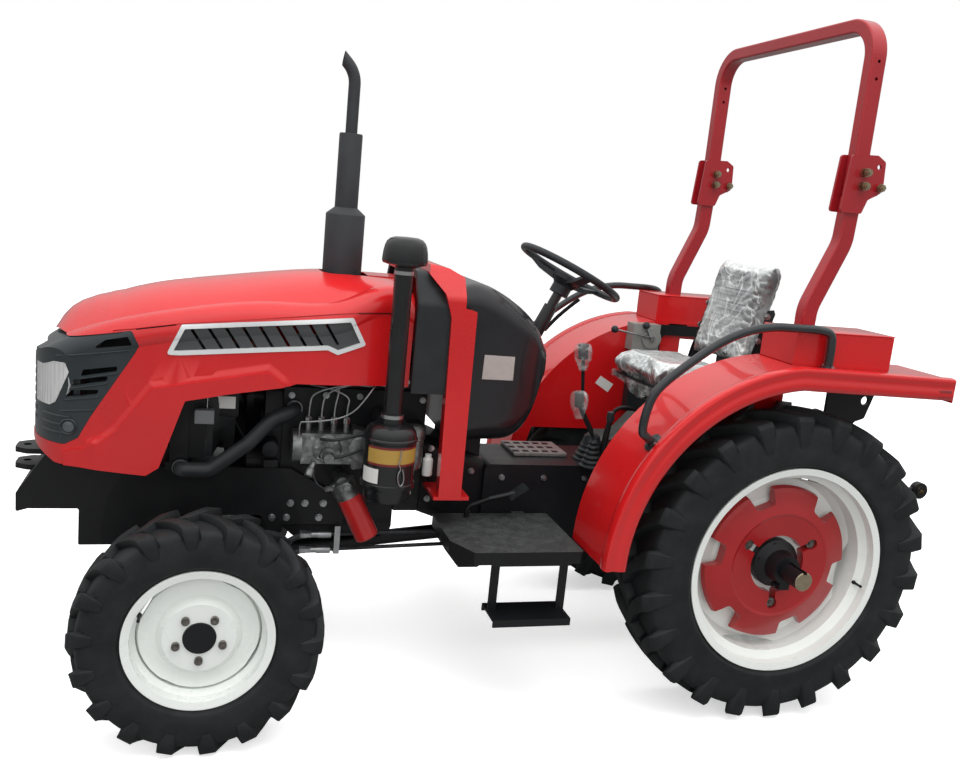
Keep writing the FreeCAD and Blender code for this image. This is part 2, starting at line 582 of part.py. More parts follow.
def hoses():
    x, w = front_axle_x, engine_half_width
    head_face = engine_front_x - 14 + seat_gap
    upper = pipe([(x + 50 - seat_gap, 96, 1225), (x - 190, 96, 1225), (head_face + 36, 80, 1106),
                  (head_face, 80, 1106)], 20.0, 30.0)
    lower = pipe([(x + 84, 225 + seat_gap, 786), (x + 84, 262, 786), (x - 10, 262, 786), (x - 130, 262, 880),
                  (x - 205, 250, 962), (x - 285, 216, 990), (x - 285, w + seat_gap, 990)], 25.0, 50.0)
    keep("coolant_hoses", [upper, lower])
    line_y = frame_half_width + 12.0
    lines = []
    for z_front, z_rear in ((532, 548), (474, 500)):
        lines.append(fuse(pipe([(x - 400, line_y, z_front), (x - 1030, line_y, z_rear),
                                (x - 1030, 150 + seat_gap, z_rear)],
                               7.0, 24.0),
                          rod(13.0, (x - 392, line_y, z_front), (x - 440, line_y, z_front)),
                          rod(11.0, (x - 360, line_y, z_front), (x - 392, line_y, z_front))))
    clamp = box(x - 472, x - 452, 178, line_y + 12, 462, 566 - seat_gap)
    keep("hydraulic_lines", fuse(lines, clamp))
    # the shaft tube climbs from the front axle's nose to the transfer case
    nose_x, nose_z = x - 205 - seat_gap, front_tyre_radius + 18
    rise = (drive_shaft_z - nose_z) / (nose_x - transfer_x)
    tube_part = rod(drive_shaft_radius, (nose_x + 40, 0, nose_z - 40 * rise),
                    (transfer_x - 40, 0, drive_shaft_z + 40 * rise))
    tube_part = tube_part.common(box(transfer_x + seat_gap, nose_x, -60, 60, 300, 600))
    tube_part = fuse(tube_part, rod(48.0, (nose_x, 0, nose_z), (nose_x - 54, 0, nose_z)))
    keep("drive_shaft", tube_part)


# ---------------------------------------------------------------- gearbox and rear axle
def driveline():
    x = front_axle_x
    clutch = Part.makeLoft([
        rounded([V(engine_rear_x - seat_gap, -170, 596), V(engine_rear_x - seat_gap, 170, 596),
                 V(engine_rear_x - seat_gap, 170, 900), V(engine_rear_x - seat_gap, -170, 900)], 60.0),
        rounded([V(x - 1010, -130, 500), V(x - 1010, 130, 500), V(x - 1010, 130, 800),
                 V(x - 1010, -130, 800)],
                40.0)],
        True, True)
    gearcase = slab([(x - 1010, 470), (x - 1010, 790), (x - 1560, 790), (x - 1620, 820),
                     (rear_axle_x - 60, 830),
                     (gearbox_rear_x, 800), (gearbox_rear_x, 420), (x - 1700, 400), (x - 1300, 440)],
                    "y", -150, 150, 26.0)
    transfer = slab([(transfer_x, drive_shaft_z - 44), (transfer_x, drive_shaft_z + 40),
                     (transfer_x - 60, drive_shaft_z + 80), (transfer_x - 180, drive_shaft_z + 80),
                     (transfer_x - 180, 400), (transfer_x - 140, 352), (transfer_x - 60, 352)],
                    "y", -90, 90, 12.0)
    centre = rod(gearbox_half_width, (rear_axle_x, -190, rear_tyre_radius),
                 (rear_axle_x, 190, rear_tyre_radius))
    lift_house = box(rear_axle_x - 150, rear_axle_x + 220, -120, 120, 820, lift_house_top)
    rock_boss = rod(50.0, (link_pivot_x, -170, rock_shaft_z), (link_pivot_x, 170, rock_shaft_z))
    rock_bore = rod(26.0 + running_gap, (link_pivot_x, -180, rock_shaft_z), (link_pivot_x, 180, rock_shaft_z))
    link_bar = rod(22.0, (link_pivot_x, -link_pivot_y - 34, link_pivot_z),
                   (link_pivot_x, link_pivot_y + 34, link_pivot_z))
    link_ear = slab([(link_pivot_x - 36, link_pivot_z - 36), (link_pivot_x + 36, link_pivot_z - 36),
                     (rear_axle_x + 40, 470), (rear_axle_x - 90, 470)], "y", 120, 150, 10.0)
    case = fuse(clutch, gearcase, transfer, centre, lift_house, rock_boss, link_ear, mirrored(link_ear))
    arch_pad = box(x - 900, x - 790, 140, 170.3, 650, 740)
    pedestal = box(x - 1000, x - 860, -90, 90, 760, cowl_low - seat_gap)
    case = fuse(case.cut(rock_bore), link_bar, arch_pad, mirrored(arch_pad), pedestal)
    keep("gearbox", case)
    z = rear_tyre_radius
    housing = revolve_y([(34.5 + running_gap, 190.3), (128, 190.3), (128, 214),
                         (92, 236), (78, 430), (98, 440),
                         (98, 466), (33.5 + running_gap, 466)], rear_axle_x, z)
    saddle = box(rear_axle_x - 80, rear_axle_x + 80, 330, 424, z + 60, z + 106)
    spring_pad = fuse(housing, saddle.cut(rod(60.0, (rear_axle_x, 0, z), (rear_axle_x, 500, z))))
    keep("rear_axle", both_sides(spring_pad))
    pto_x = gearbox_rear_x
    pto_hole = rod(34.0, (pto_x - 5, 0, 610), (pto_x + 40, 0, 610))
    parts["gearbox"] = parts["gearbox"].cut(pto_hole)
    spline = rod(17.5, (pto_x + 39.5, 0, 610), (pto_x - 76, 0, 610))
    collar = rod(32.0, (pto_x + 39.5, 0, 610), (pto_x - 6, 0, 610))
    teeth = box(pto_x - 80, pto_x - 6, -2.0, 2.0, 610 + 15.0, 610 + 22)
    keep("pto_shaft", fuse(spline, collar).cut(Part.makeCompound(around(teeth, 6, (0, 0, 610), (1, 0, 0)))))


def hitch():
    lean = math.atan2(link_ball_z - link_pivot_z, link_pivot_x - link_ball_x)
    reach_x, reach_z = lift_arm_length * math.cos(lean), lift_arm_length * math.sin(lean)

    def at(distance, side_y):
        return (link_pivot_x - distance * math.cos(lean), side_y, link_pivot_z + distance * math.sin(lean))

    length = math.hypot(link_pivot_x - link_ball_x, link_ball_z - link_pivot_z)
    eye = rod(40.0, (link_pivot_x, link_pivot_y - 16, link_pivot_z),
              (link_pivot_x, link_pivot_y + 16, link_pivot_z))
    eye_hole = rod(22.0 + running_gap, (link_pivot_x, 200, link_pivot_z), (link_pivot_x, 300, link_pivot_z))
    up = V(math.sin(lean), 0, math.cos(lean))
    start, knee, end = V(*at(24, link_pivot_y)), V(*at(360, link_pivot_y + 4)), V(*at(length - 26,
            link_ball_y))

    def section(centre, tall, thick):
        return rounded([centre + up * tall + V(0, thick, 0), centre + up * tall - V(0, thick, 0),
                        centre - up * tall - V(0, thick, 0), centre - up * tall + V(0, thick, 0)], 5.0)

    bar_1 = Part.makeLoft([section(start, 30, 9), section(knee, 34, 9)], True, True)
    bar_2 = Part.makeLoft([section(knee, 34, 9), section(end, 28, 9)], True, True)
    ball_centre = at(length, link_ball_y)
    ball_eye = rod(34.0, (ball_centre[0], link_ball_y - 14, ball_centre[2]),
                   (ball_centre[0], link_ball_y + 14, ball_centre[2]))
    ball = rod(22.0, (ball_centre[0], link_ball_y - 22, ball_centre[2]),
               (ball_centre[0], link_ball_y + 22, ball_centre[2]))
    ball_bore = rod(11.2, (ball_centre[0], link_ball_y - 40, ball_centre[2]),
                    (ball_centre[0], link_ball_y + 40, ball_centre[2]))
    rod_pin = rod(9.0, at(lift_arm_length, link_pivot_y - 10), at(lift_arm_length, link_pivot_y + 52))
    link = fuse(eye, bar_1, bar_2, ball_eye, ball, rod_pin).cut(Part.makeCompound([eye_hole, ball_bore]))
    keep("lower_links", both_sides(link))
    # rockshaft with its two arms
    arm_y = 214.0
    shaft = rod(26.0, (link_pivot_x, -arm_y - 16, rock_shaft_z), (link_pivot_x, arm_y + 16, rock_shaft_z))
    tip = (link_pivot_x - reach_x, rock_shaft_z + reach_z)
    hub = rod(46.0, (link_pivot_x, arm_y - 20, rock_shaft_z), (link_pivot_x, arm_y + 20, rock_shaft_z))
    tip_boss = rod(26.0, (tip[0], arm_y - 14, tip[1]), (tip[0], arm_y + 14, tip[1]))
    side = V(math.sin(lean), 0, math.cos(lean))
    a, b = V(link_pivot_x, 0, rock_shaft_z), V(tip[0], 0, tip[1])
    arm_points = [(p.x, p.z) for p in (a + side * 42, b + side * 22, b - side * 22, a - side * 42)]
    arm = slab(arm_points, "y", arm_y - 12, arm_y + 12, 2.0)
    pin = rod(9.0, (tip[0], arm_y, tip[1]), (tip[0], link_pivot_y + 48, tip[1]))
    one = fuse(hub, tip_boss, arm, pin)
    keep("lift_arms", fuse(shaft, one, mirrored(one)))
    rod_y = link_pivot_y + 36.0
    low = at(lift_arm_length, rod_y)
    top_eye = rod(22.0, (tip[0], rod_y - 9, tip[1]), (tip[0], rod_y + 9, tip[1]))
    low_eye = rod(22.0, (low[0], rod_y - 9, low[2]), (low[0], rod_y + 9, low[2]))
    stem = rod(12.0, (tip[0], rod_y, low[2] + 16), (tip[0], rod_y, tip[1] - 16))
    barrel = rod(19.0, (tip[0], rod_y, low[2] + 130), (tip[0], rod_y, tip[1] - 130))
    holes = [rod(9.0 + pin_gap, (tip[0], 200, tip[1]), (tip[0], 400, tip[1])),
             rod(9.0 + pin_gap, (low[0], 200, low[2]), (low[0], 400, low[2]))]
    keep("lift_rods", both_sides(fuse(top_eye, low_eye, stem, barrel).cut(Part.makeCompound(holes))))
    rear = gearbox_rear_x - seat_gap
    base = box(rear - 16, rear, -90, 90, 700, 800)
    ear = slab([(rear - 10, 710), (rear - 60, 740), (rear - 96, 770), (rear - 96, 800), (rear - 10, 800)],
               "y", 26, 40, 8.0)
    ear = ear.cut(Part.makeCompound([rod(10.0, (rear - 74, 0, 780), (rear - 74, 60, 780)),
                                     rod(10.0, (rear - 50, 0, 756), (rear - 50, 60, 756))]))
    top_bracket = fuse(base, ear, mirrored(ear))
    carrier = box(rear - 14, rear, -110, 110, 440, 540)
    bar = slab([(rear - 0, -36), (rear - 250, -36), (rear - 290, 0), (rear - 250, 36), (rear - 0, 36)],
               "z", 452, 482, 12.0)
    pin_hole = rod(14.0, (rear - 240, 0, 400), (rear - 240, 0, 560))
    keep("hitch_brackets", [top_bracket, fuse(carrier, bar.cut(pin_hole))])


# ---------------------------------------------------------------- hood and nose
hood_stations = [
    # x from the front axle, crown height, shoulder height, shoulder half width, side half width,
    # roof radius inset
    (600, 1150, 1118, 150, 232, 46),
    (480, 1216, 1176, 190, 262, 50),
    (360, 1306, 1238, 214, 282, 56),
    (240, 1362, 1276, 230, 296, 60),
    (60, 1402, 1316, 240, 306, 62),
    (-200, 1444, 1350, 246, 314, 62),
    (-420, 1466, 1372, 250, 318, 62),
    (-700, 1462, 1374, 250, 318, 62),
]


def hood_section(station, inset):
    dx, crown, shoulder, half_top, half_side, corner = station
    x = front_axle_x + dx
    low = 700.0
    top, side, edge = crown - inset, half_side - inset, shoulder - inset
    roof = half_top - inset * 0.6
    corner_mid = V(x, (roof + side) / 2 + corner * 0.28, edge - corner * 0.02)
    left_side = V(x, side, edge - corner - 20)
    left_roof = V(x, roof, edge + corner * 0.28)
    points = [V(x, side - 6, low), left_side, corner_mid, left_roof]
    flip = [V(p.x, -p.y, p.z) for p in points]
    edges = [
        Part.LineSegment(points[0], points[1]).toShape(),
        Part.Arc(points[1], points[2], points[3]).toShape(),
        Part.Arc(points[3], V(x, 0, top), flip[3]).toShape(),
        Part.Arc(flip[3], flip[2], flip[1]).toShape(),
        Part.LineSegment(flip[1], flip[0]).toShape(),
        Part.LineSegment(flip[0], points[0]).toShape()]
    return Part.Wire(edges)


def hood_solid(inset):
    body = Part.makeLoft([hood_section(s, inset) for s in hood_stations], True, False)
    x = front_axle_x
    tip, cheek, jaw = (x + 568 - inset, 0.0), (x + 556 - inset, 96.0), (x + 516 - inset, 196.0)
    turn = (x + 424 - inset, 280.0)

    def at(spot, side=1):
        return V(spot[0], side * spot[1], 600)

    back = [V(x - 720, 400, 600), V(x + 404 - inset, 400, 600), V(x + 404 - inset, -400, 600),
            V(x - 720, -400, 600)]
    plan_edges = [Part.LineSegment(back[0], back[1]).toShape(),
                  Part.LineSegment(back[1], at(turn)).toShape(),
                  Part.Arc(at(turn), at(jaw), at(cheek)).toShape(),
                  Part.Arc(at(cheek), at(tip), at(cheek, -1)).toShape(),
                  Part.Arc(at(cheek, -1), at(jaw, -1), at(turn, -1)).toShape(),
                  Part.LineSegment(at(turn, -1), back[2]).toShape(),
                  Part.LineSegment(back[2], back[3]).toShape(),
                  Part.LineSegment(back[3], back[0]).toShape()]
    plan = Part.Face(Part.Wire(plan_edges)).extrude(V(0, 0, 1100))
    return body.common(plan)


def drafted(points, near, far, slope):
    """Outline pushed outwards along +Y from near to far, its sides leaning in by slope."""
    wide = rounded([V(a, near, b) for a, b in points], 20.0)
    narrow = Part.Face(rounded([V(a, far, b) for a, b in points], 20.0)).makeOffset2D(-slope).OuterWire
    return Part.makeLoft([wide, narrow], True, True)


def hood():
    x = front_axle_x
    outer, inner = hood_solid(0.0), hood_solid(sheet)
    # the pressed band round the wheel opening stands proud of the side
    band = [(x + 460, 872), (x + 396, 890), (x + 344, 897), (x + 300, 936), (x + 190, 1092), (x - 186, 1168),
            (x - 262, 1110), (x - 262, 980), (x + 60, 900), (x + 120, 700), (x + 460, 700)]
    swage = hood_solid(-swage_height).common(fuse(both_sides(drafted(band, 180.0, 345.0, 30.0))))
    shell = fuse(outer, swage).cut(inner)
    low_cut = slab([(x + 700, 600), (x + 700, 846), (x + 560, 846), (x + 474, 802),
                    (x + 190, 778), (x + 150, 806),
                    (x + 76, 1033), (x - 60, 1062), (x - 255, 1096), (x - 275, 1104),
                    (x - 800, 1108), (x - 800, 600)],
                   "y", -500, 500, 8.0)
    rear_cut = box(x - 900, hood_rear_x, -500, 500, 600, 1600)
    # the roof's lower edge: a groove along the side, and the whole front above the mask
    seam = slab([(x + 300, 1240), (x + 244, 1249), (x + 107, 1275), (x - 477, 1350),
                 (x - 800, 1362), (x - 800, 1369),
                 (x - 477, 1357), (x + 107, 1282), (x + 244, 1256), (x + 300, 1247)], "y", -500, 500)
    groove = hood_solid(-2.0).cut(hood_solid(3.0)).common(seam)
    nose_region = [(x + 700, 1186), (x + 540, 1186), (x + 470, 1206), (x + 429, 1214), (x + 244, 1250),
                   (x + 221, 1203), (x + 234, 1176), (x + 362, 963), (x + 400, 889),
                   (x + 440, 866), (x + 700, 866)]
    nose_cut = slab(nose_region, "y", -500, 500, 10.0)
    notch = slab([(stack_x + stack_radius + 12, -stack_radius - 12),
                  (stack_x + stack_radius + 12, stack_radius + 12),
                  (hood_rear_x - 50, stack_radius + 12), (hood_rear_x - 50, -stack_radius - 12)],
                 "z", 1300, 1600, [60.0, 60.0, 0, 0])
    vent = [(x + 140, 1180), (x + 95, 1281), (x - 448, 1338), (x - 499, 1245),
            (x - 404, 1209), (x - 369, 1224),
            (x + 100, 1180)]
    vent_cut = slab(vent, "y", -500, 500, 8.0)
    panel = shell.cut(Part.makeCompound([low_cut, rear_cut, groove])).cut(nose_cut).cut(notch).cut(vent_cut)
    keep("hood", panel)
    # black mask: the same form a little further in, with a barred front, side louvres and lamp openings
    mask = hood_solid(3.0).cut(hood_solid(16.0)).common(slab(nose_region, "y", -500, 500, 10.0, 0.5))
    cuts = [box(x + 480, x + 700, -148, 148, 920 + i * 30, 920 + i * 30 + 16) for i in range(6)]
    cuts.append(box(x + 440, x + 700, -120, 120, 1126, 1176))
    louvres = [[(395, 1092), (287, 1116), (285, 1132), (387, 1114)],
               [(422, 1058), (317, 1082), (312, 1098), (414, 1080)],
               [(440, 1020), (346, 1036), (338, 1052), (432, 1044)],
               [(361, 1184), (322, 1215), (256, 1230), (242, 1203)]]
    for outline in louvres:
        cut = slab([(x + a, b) for a, b in outline], "y", 240, 400, 4.0)
        cuts += both_sides(cut)
    cuts += both_sides(lamp_shape(x, 150, 320, 0.0))
    mask = mask.cut(Part.makeCompound(cuts))
    bottom = box(x + 440, x + 560, -150, 150, 870, 876).common(hood_solid(10.0))
    lug = slab([(hood_hinge_x - 18, 822), (hood_hinge_x + 12, 822), (hood_hinge_x + 20, 850),
                (hood_hinge_x + 20, 872), (hood_hinge_x - 18, 872)], "y", 131, 143, 5.0)
    pin = rod(8.0, (hood_hinge_x, 112, hood_hinge_z), (hood_hinge_x, 143, hood_hinge_z))
    lug_plate = fuse(lug, box(hood_hinge_x - 18, hood_hinge_x + 30, 112, 150, 867, 876))
    keep("nose_grille", fuse(mask, bottom, both_sides(fuse(lug_plate, pin))))
    lens = hood_solid(0.0).cut(hood_solid(14.0)).common(lamp_shape(x, 151, 319, 0.5))
    keep("headlights", both_sides(lens))
    # louvred side panels in bright frames
    frame_face = hood_solid(-4.0).cut(hood_solid(9.0))
    ring = slab(vent, "y", 200, 500, 8.0, 0.4).cut(slab(vent, "y", 190, 510, 8.0, 15.0))
    backing = hood_solid(6.0).cut(hood_solid(9.0)).common(slab(vent, "y", 200, 500, 8.0, 0.4))
    slots = []
    for i in range(vent_slot_count):
        top_x = x + 72 - i * vent_slot_pitch
        top_z, low_z = 1270 - (top_x - x - 72) * 0.105, 1201 - (top_x - x - 72) * 0.098
        slots.append(slab([(top_x, top_z), (top_x - vent_slot_width, top_z),
                           (top_x - vent_slot_width - 46, low_z), (top_x - 46, low_z)], "y", 180, 500, 2.0))
    backing = backing.cut(Part.makeCompound(slots))
    keep("side_vents", both_sides(fuse(frame_face.common(ring), backing)))


def lamp_shape(x, y0, y1, shrink):
    outline = [(700, 1112), (516, 1114), (477, 1132), (441, 1133), (429, 1103), (470, 1001),
               (491, 986), (700, 986)]
    return slab([(x + a, b) for a, b in outline], "y", y0, y1, 6.0, shrink)


# ---------------------------------------------------------------- arch, cowl and steering wheel
def arch():
    x = front_axle_x
    outer, inner = 345.0, 300.0
    across = slab([(-outer, 600), (outer, 600), (outer, 1428), (270, 1534), (-270, 1534), (-outer, 1428)],
                  "x", x - 900, x - 690, 40.0)
    hole = slab([(-inner, 500), (inner, 500), (inner, 1400), (244, 1486), (-244, 1486), (-inner, 1400)],
                "x", x - 920, x - 680, 34.0)
    profile = [(x - 788, 712), (x - 870, 712), (x - 866, 1386), (x - 824, 1394),
               (x - 824, 1496), (x - 772, 1522),
               (x - 706, 1534), (x - 700, 1500), (x - 752, 1440), (x - 777, 1360)]
    hoop = slab(profile, "y", -outer, outer, 6.0).common(across.cut(hole))
    foot = box(x - 900, x - 770, 170.6, outer, 712, 724)
    tongue = box(x - 776, stack_x - stack_radius - 14, -stack_radius - 4, stack_radius + 4, 1455, 1461)
    stay = box(x - 776, x - 764, -30, 30, 1455, 1492)
    keep("rear_arch", fuse(hoop, foot, mirrored(foot), tongue, stay))
    # the rubber seal closes the gap from the hood's rear edge back to the arch's leaning front face
    front = hood_rear_x - 6
    fit = [(front, 1090), (x - 781.6 + seat_gap, 1090), (x - 777 + seat_gap, 1360),
           (x - 752 + seat_gap, 1440),
           (x - 700 + seat_gap, 1500), (x - 700 + seat_gap, 1520), (front, 1520)]
    ring = slab([(-330, 1000), (330, 1000), (330, 1400), (262, 1506), (-262, 1506), (-330, 1400)],
                "x", x - 900, x - 600, 36.0)
    bore = slab([(-308, 900), (308, 900), (308, 1392), (250, 1480), (-250, 1480), (-308, 1392)],
                "x", x - 910, x - 590, 32.0)
    keep("arch_seal", slab(fit, "y", -340, 340).common(ring.cut(bore)))


def cowl():
    x = front_axle_x
    # moulded cowl: high and square at the arch, rounding down to a narrow foot behind the column
    sections = ((834, 268, 895, 1452, 60.0), (900, 272, 895, 1474, 80.0), (1010, 268, 900, 1434, 90.0),
                (1090, 258, 920, 1384, 90.0), (1150, 236, 1010, 1322, 80.0), (1188, 200, 1120, 1262, 60.0))
    wires = [rounded([V(x - back, -half, low), V(x - back, half, low), V(x - back, half, high),
                      V(x - back, -half, high)],
                     corner) for back, half, low, high, corner in sections]
    rear = Part.makeLoft(wires, True, False).cut(box(x - 1300, x - 700, -400, 400, 800, cowl_low))
    base, direction = V(x - 1160, 0, 1180), V(-0.4256, 0, 0.9049)
    column = fuse(Part.makeCylinder(27.0, 230, base, direction),
                  Part.makeCylinder(19.0, wheel_hub_height, base, direction))
    keep("cowl", fuse(rear, column))
    hub_start = base + direction * (wheel_hub_height + seat_gap)
    lean = math.degrees(math.atan2(-direction.x, direction.z))
    rim_height = 95.0
    flat_ring = Part.makeTorus(wheel_radius, 14.0, V(0, 0, rim_height))
    hub = fuse(Part.makeCylinder(38.0, 40), Part.makeCone(38.0, 56.0, 24, V(0, 0, 34)),
               Part.makeCylinder(56.0, 18, V(0, 0, 58)))
    spoke = slab([(30, 42), (120, 56), (wheel_radius - 4, rim_height - 6), (wheel_radius - 4, rim_height + 4),
                  (110, 72), (30, 66)], "y", -17, 17, 4.0)
    wheel = fuse(flat_ring, hub, around(spoke, 3, (0, 0, 0), (0, 0, 1), 90.0))
    wheel.rotate(V(0, 0, 0), V(0, 1, 0), -lean)
    wheel.translate(hub_start)
    keep("steering_wheel", wheel)


# ---------------------------------------------------------------- operator's platform
def platform():
    x = front_axle_x
    deck = slab([(x - 810, 190), (x - 810, 470), (x - 870, 585), (x - 1262, 585), (x - 1262, 190)],
                "z", floor_z - 6, floor_z, 14.0)
    lip = slab([(x - 810, 190), (x - 810, 470), (x - 870, 585), (x - 1262, 585), (x - 1262, 190)],
               "z", floor_z - 44, floor_z - 6, 14.0)
    lip = lip.cut(slab([(x - 816, 196), (x - 816, 467), (x - 873, 579), (x - 1256, 579), (x - 1256, 196)],
                       "z", floor_z - 50, floor_z + 1, 12.0))
    hanger = box(x - 1180, x - 1130, 150 + seat_gap, 196, floor_z - 44, floor_z - 6)
    side = fuse(deck, lip, hanger)
    frame = []
    for front in (x - 968, x - 1216):
        frame.append(box(front, front + 30, 560, 566, 392, floor_z - 44))
    tread = box(x - 1216, x - 938, 500, 640, 384, 392)
    toe = fuse(box(x - 1216, x - 938, 634, 640, 366, 392), box(x - 1216, x - 938, 500, 506, 366, 392))
    hang = box(x - 1216, x - 938, 540, 585, floor_z - 50, floor_z - 44)
    keep("floor", both_sides(fuse(side, frame, tread, toe, hang)))
    # shift levers through rubber boots on the gearbox cover
    levers = []
    for lx, ly, top, wide, knob in ((x - 1478, 44, 1200, 58.0, 20.0), (x - 1440, 150, 1030, 36.0, 18.0)):
        boot = [cone(wide - 7 * i, wide - 6 - 7 * i, (lx, ly, 790.3 + 24 * i), (lx, ly, 790.3 + 24 * (i + 1)))
                for i in range(4)]
        stem = pipe([(lx, ly, 860), (lx, ly, 900), (lx + 56, ly, 990), (lx + 78, ly, top)], 7.0, 60.0)
        grip = rod(knob, (lx + 78, ly, top - 4), (lx + 84, ly, top + 52))
        levers.append(fuse(boot, stem, grip))
    pedal_set = []
    for py, px in ((232, x - 1120), (-232, x - 1120), (-300, x - 1150)):
        pad = turned(box(px - 40, px + 40, py - 32, py + 32, 706, 714), (px, py, 710), (0, 1, 0), 35.0)
        arm = pipe([(px + 10, py, 704), (px + 110, py, 680), (px + 190, py, 650),
                    (px + 190, py, floor_z + seat_gap)], 9.0, 30.0)
        pedal_set.append(fuse(pad, arm))
    keep("pedals", pedal_set)
    console = box(x - 1920, x - 1790, -fender_inner_y + seat_gap, -350, 1180, 1300)
    column = box(x - 1900, x - 1810, -fender_inner_y + seat_gap, -370, 900, 1180)
    keep("control_levers", levers + [fuse(console, column)])


def seat():
    """Sprung base on the lift housing, a plate that carries the cushion, two brackets for the back."""
    x = rear_axle_x
    low = seat_plate_z + seat_gap
    base = box(x - 40, x + 200, -150, 150, lift_house_top + 0.5, seat_plate_z - 20)
    plate = box(x - 60, x + 340, -seat_half_width, seat_half_width, seat_plate_z - 20, seat_plate_z)
    bracket = slab([(x - 60, seat_plate_z - 18), (x - 6, seat_plate_z - 18), (x - 6, 1190), (x - 76, 1370),
                    (x - 112, 1370), (x - 60, 1200)],
                   "y", back_half_width + seat_gap, back_half_width + 8, 6.0)
    keep("seat_base", fuse(base, plate, both_sides(bracket)))
    cushion = slab([(x - 2, low), (x + 350, low), (x + 378, 1160), (x + 340, 1205),
                    (x + 92, 1203), (x - 2, 1172)],
                   "y", -seat_half_width, seat_half_width, 24.0)
    keep("seat_cushion", cushion)
    back = slab([(x - 62, 1215), (x + 18, 1190), (x - 85, 1605), (x - 101, 1638),
                 (x - 128, 1640), (x - 142, 1606)],
                "y", -back_half_width, back_half_width, 20.0)
    keep("seat_back", back)


# ---------------------------------------------------------------- fenders, rails, lamps and guard
fender_centre_z = rear_tyre_radius + 20.0
fender_crest_angle = 84.0
fender_tail_x = rear_axle_x - 545.0
fender_tail_z = fender_centre_z + 696.0
mount_top = fender_centre_z + 701.0
rail_crest_z = fender_centre_z + 844.0
box_top_z = fender_centre_z + 828.0


def fender_surface_z(x, offset):
    """Height of the fender's skin over x, offset outwards from the skin's inside."""
    r = fender_arc_radius + offset
    crest_x = rear_axle_x + r * math.cos(math.radians(fender_crest_angle))
    crest_z = fender_centre_z + r * math.sin(math.radians(fender_crest_angle))
    if x > crest_x:
        return fender_centre_z + math.sqrt(r * r - (x - rear_axle_x) ** 2)
    share = (crest_x - x) / (crest_x - fender_tail_x)
    return crest_z + share * (fender_tail_z + offset - crest_z)


def fender_band(low, high, y0, y1):
    """Strip of the fender's side outline between two offsets, pushed from y0 to y1."""
    def ends(offset):
        r = fender_arc_radius + offset
        spots = [V(rear_axle_x + r * math.cos(math.radians(a)), y0,
                   fender_centre_z + r * math.sin(math.radians(a)))
                 for a in (0.0, 42.0, fender_crest_angle)]
        return spots + [V(fender_tail_x, y0, fender_tail_z + offset)]
    a0, a1, a2, a3 = ends(low)
    b0, b1, b2, b3 = ends(high)
    edges = [Part.Arc(a0, a1, a2).toShape(), Part.LineSegment(a2, a3).toShape(),
             Part.LineSegment(a3, b3).toShape(),
             Part.LineSegment(b3, b2).toShape(), Part.Arc(b2, b1, b0).toShape(),
             Part.LineSegment(b0, a0).toShape()]
    return Part.Face(Part.Wire(edges)).extrude(V(0, y1 - y0, 0))


post_x = rear_axle_x - 41.0


def post_hole(clearance):
    hx, hy = guard_tube_x / 2 + clearance, guard_tube_y / 2 + clearance
    return box(post_x - hx, post_x + hx, guard_y - hy, guard_y + hy, mount_top - 97, mount_top + 203)


def fender():
    inner, outer = fender_inner_y, fender_outer_y
    top = fender_band(0, sheet, inner, outer - 12)
    skirt = fender_band(-66, sheet, outer - 5, outer)
    roll = fender_band(-2, sheet, outer - 14, outer)
    bead = fender_band(-66, -58, outer - 14, outer)
    disc = rod(fender_arc_radius + sheet, (rear_axle_x, inner, fender_centre_z),
               (rear_axle_x, inner + 5, fender_centre_z))
    keep_zone = slab([(rear_axle_x + 740, 800), (rear_axle_x + 740, 1400), (rear_axle_x - 60, 1400),
                      (rear_axle_x - 60, 1120), (rear_axle_x + 240, 800)], "y", inner - 10, inner + 20, 20.0)
    wall = disc.common(keep_zone)
    rim = fender_band(-66, sheet, inner, inner + 5)
    tail = box(fender_tail_x - 6, fender_tail_x, inner, outer, fender_tail_z - 76, fender_tail_z + sheet)
    arm_hole = box(post_x - 46, post_x + 46, inner - 1, inner + 7, mount_top - 17, mount_top + 5)
    return fuse(top, skirt, roll, bead, wall, rim, tail).cut(post_hole(1.0)).cut(arm_hole)


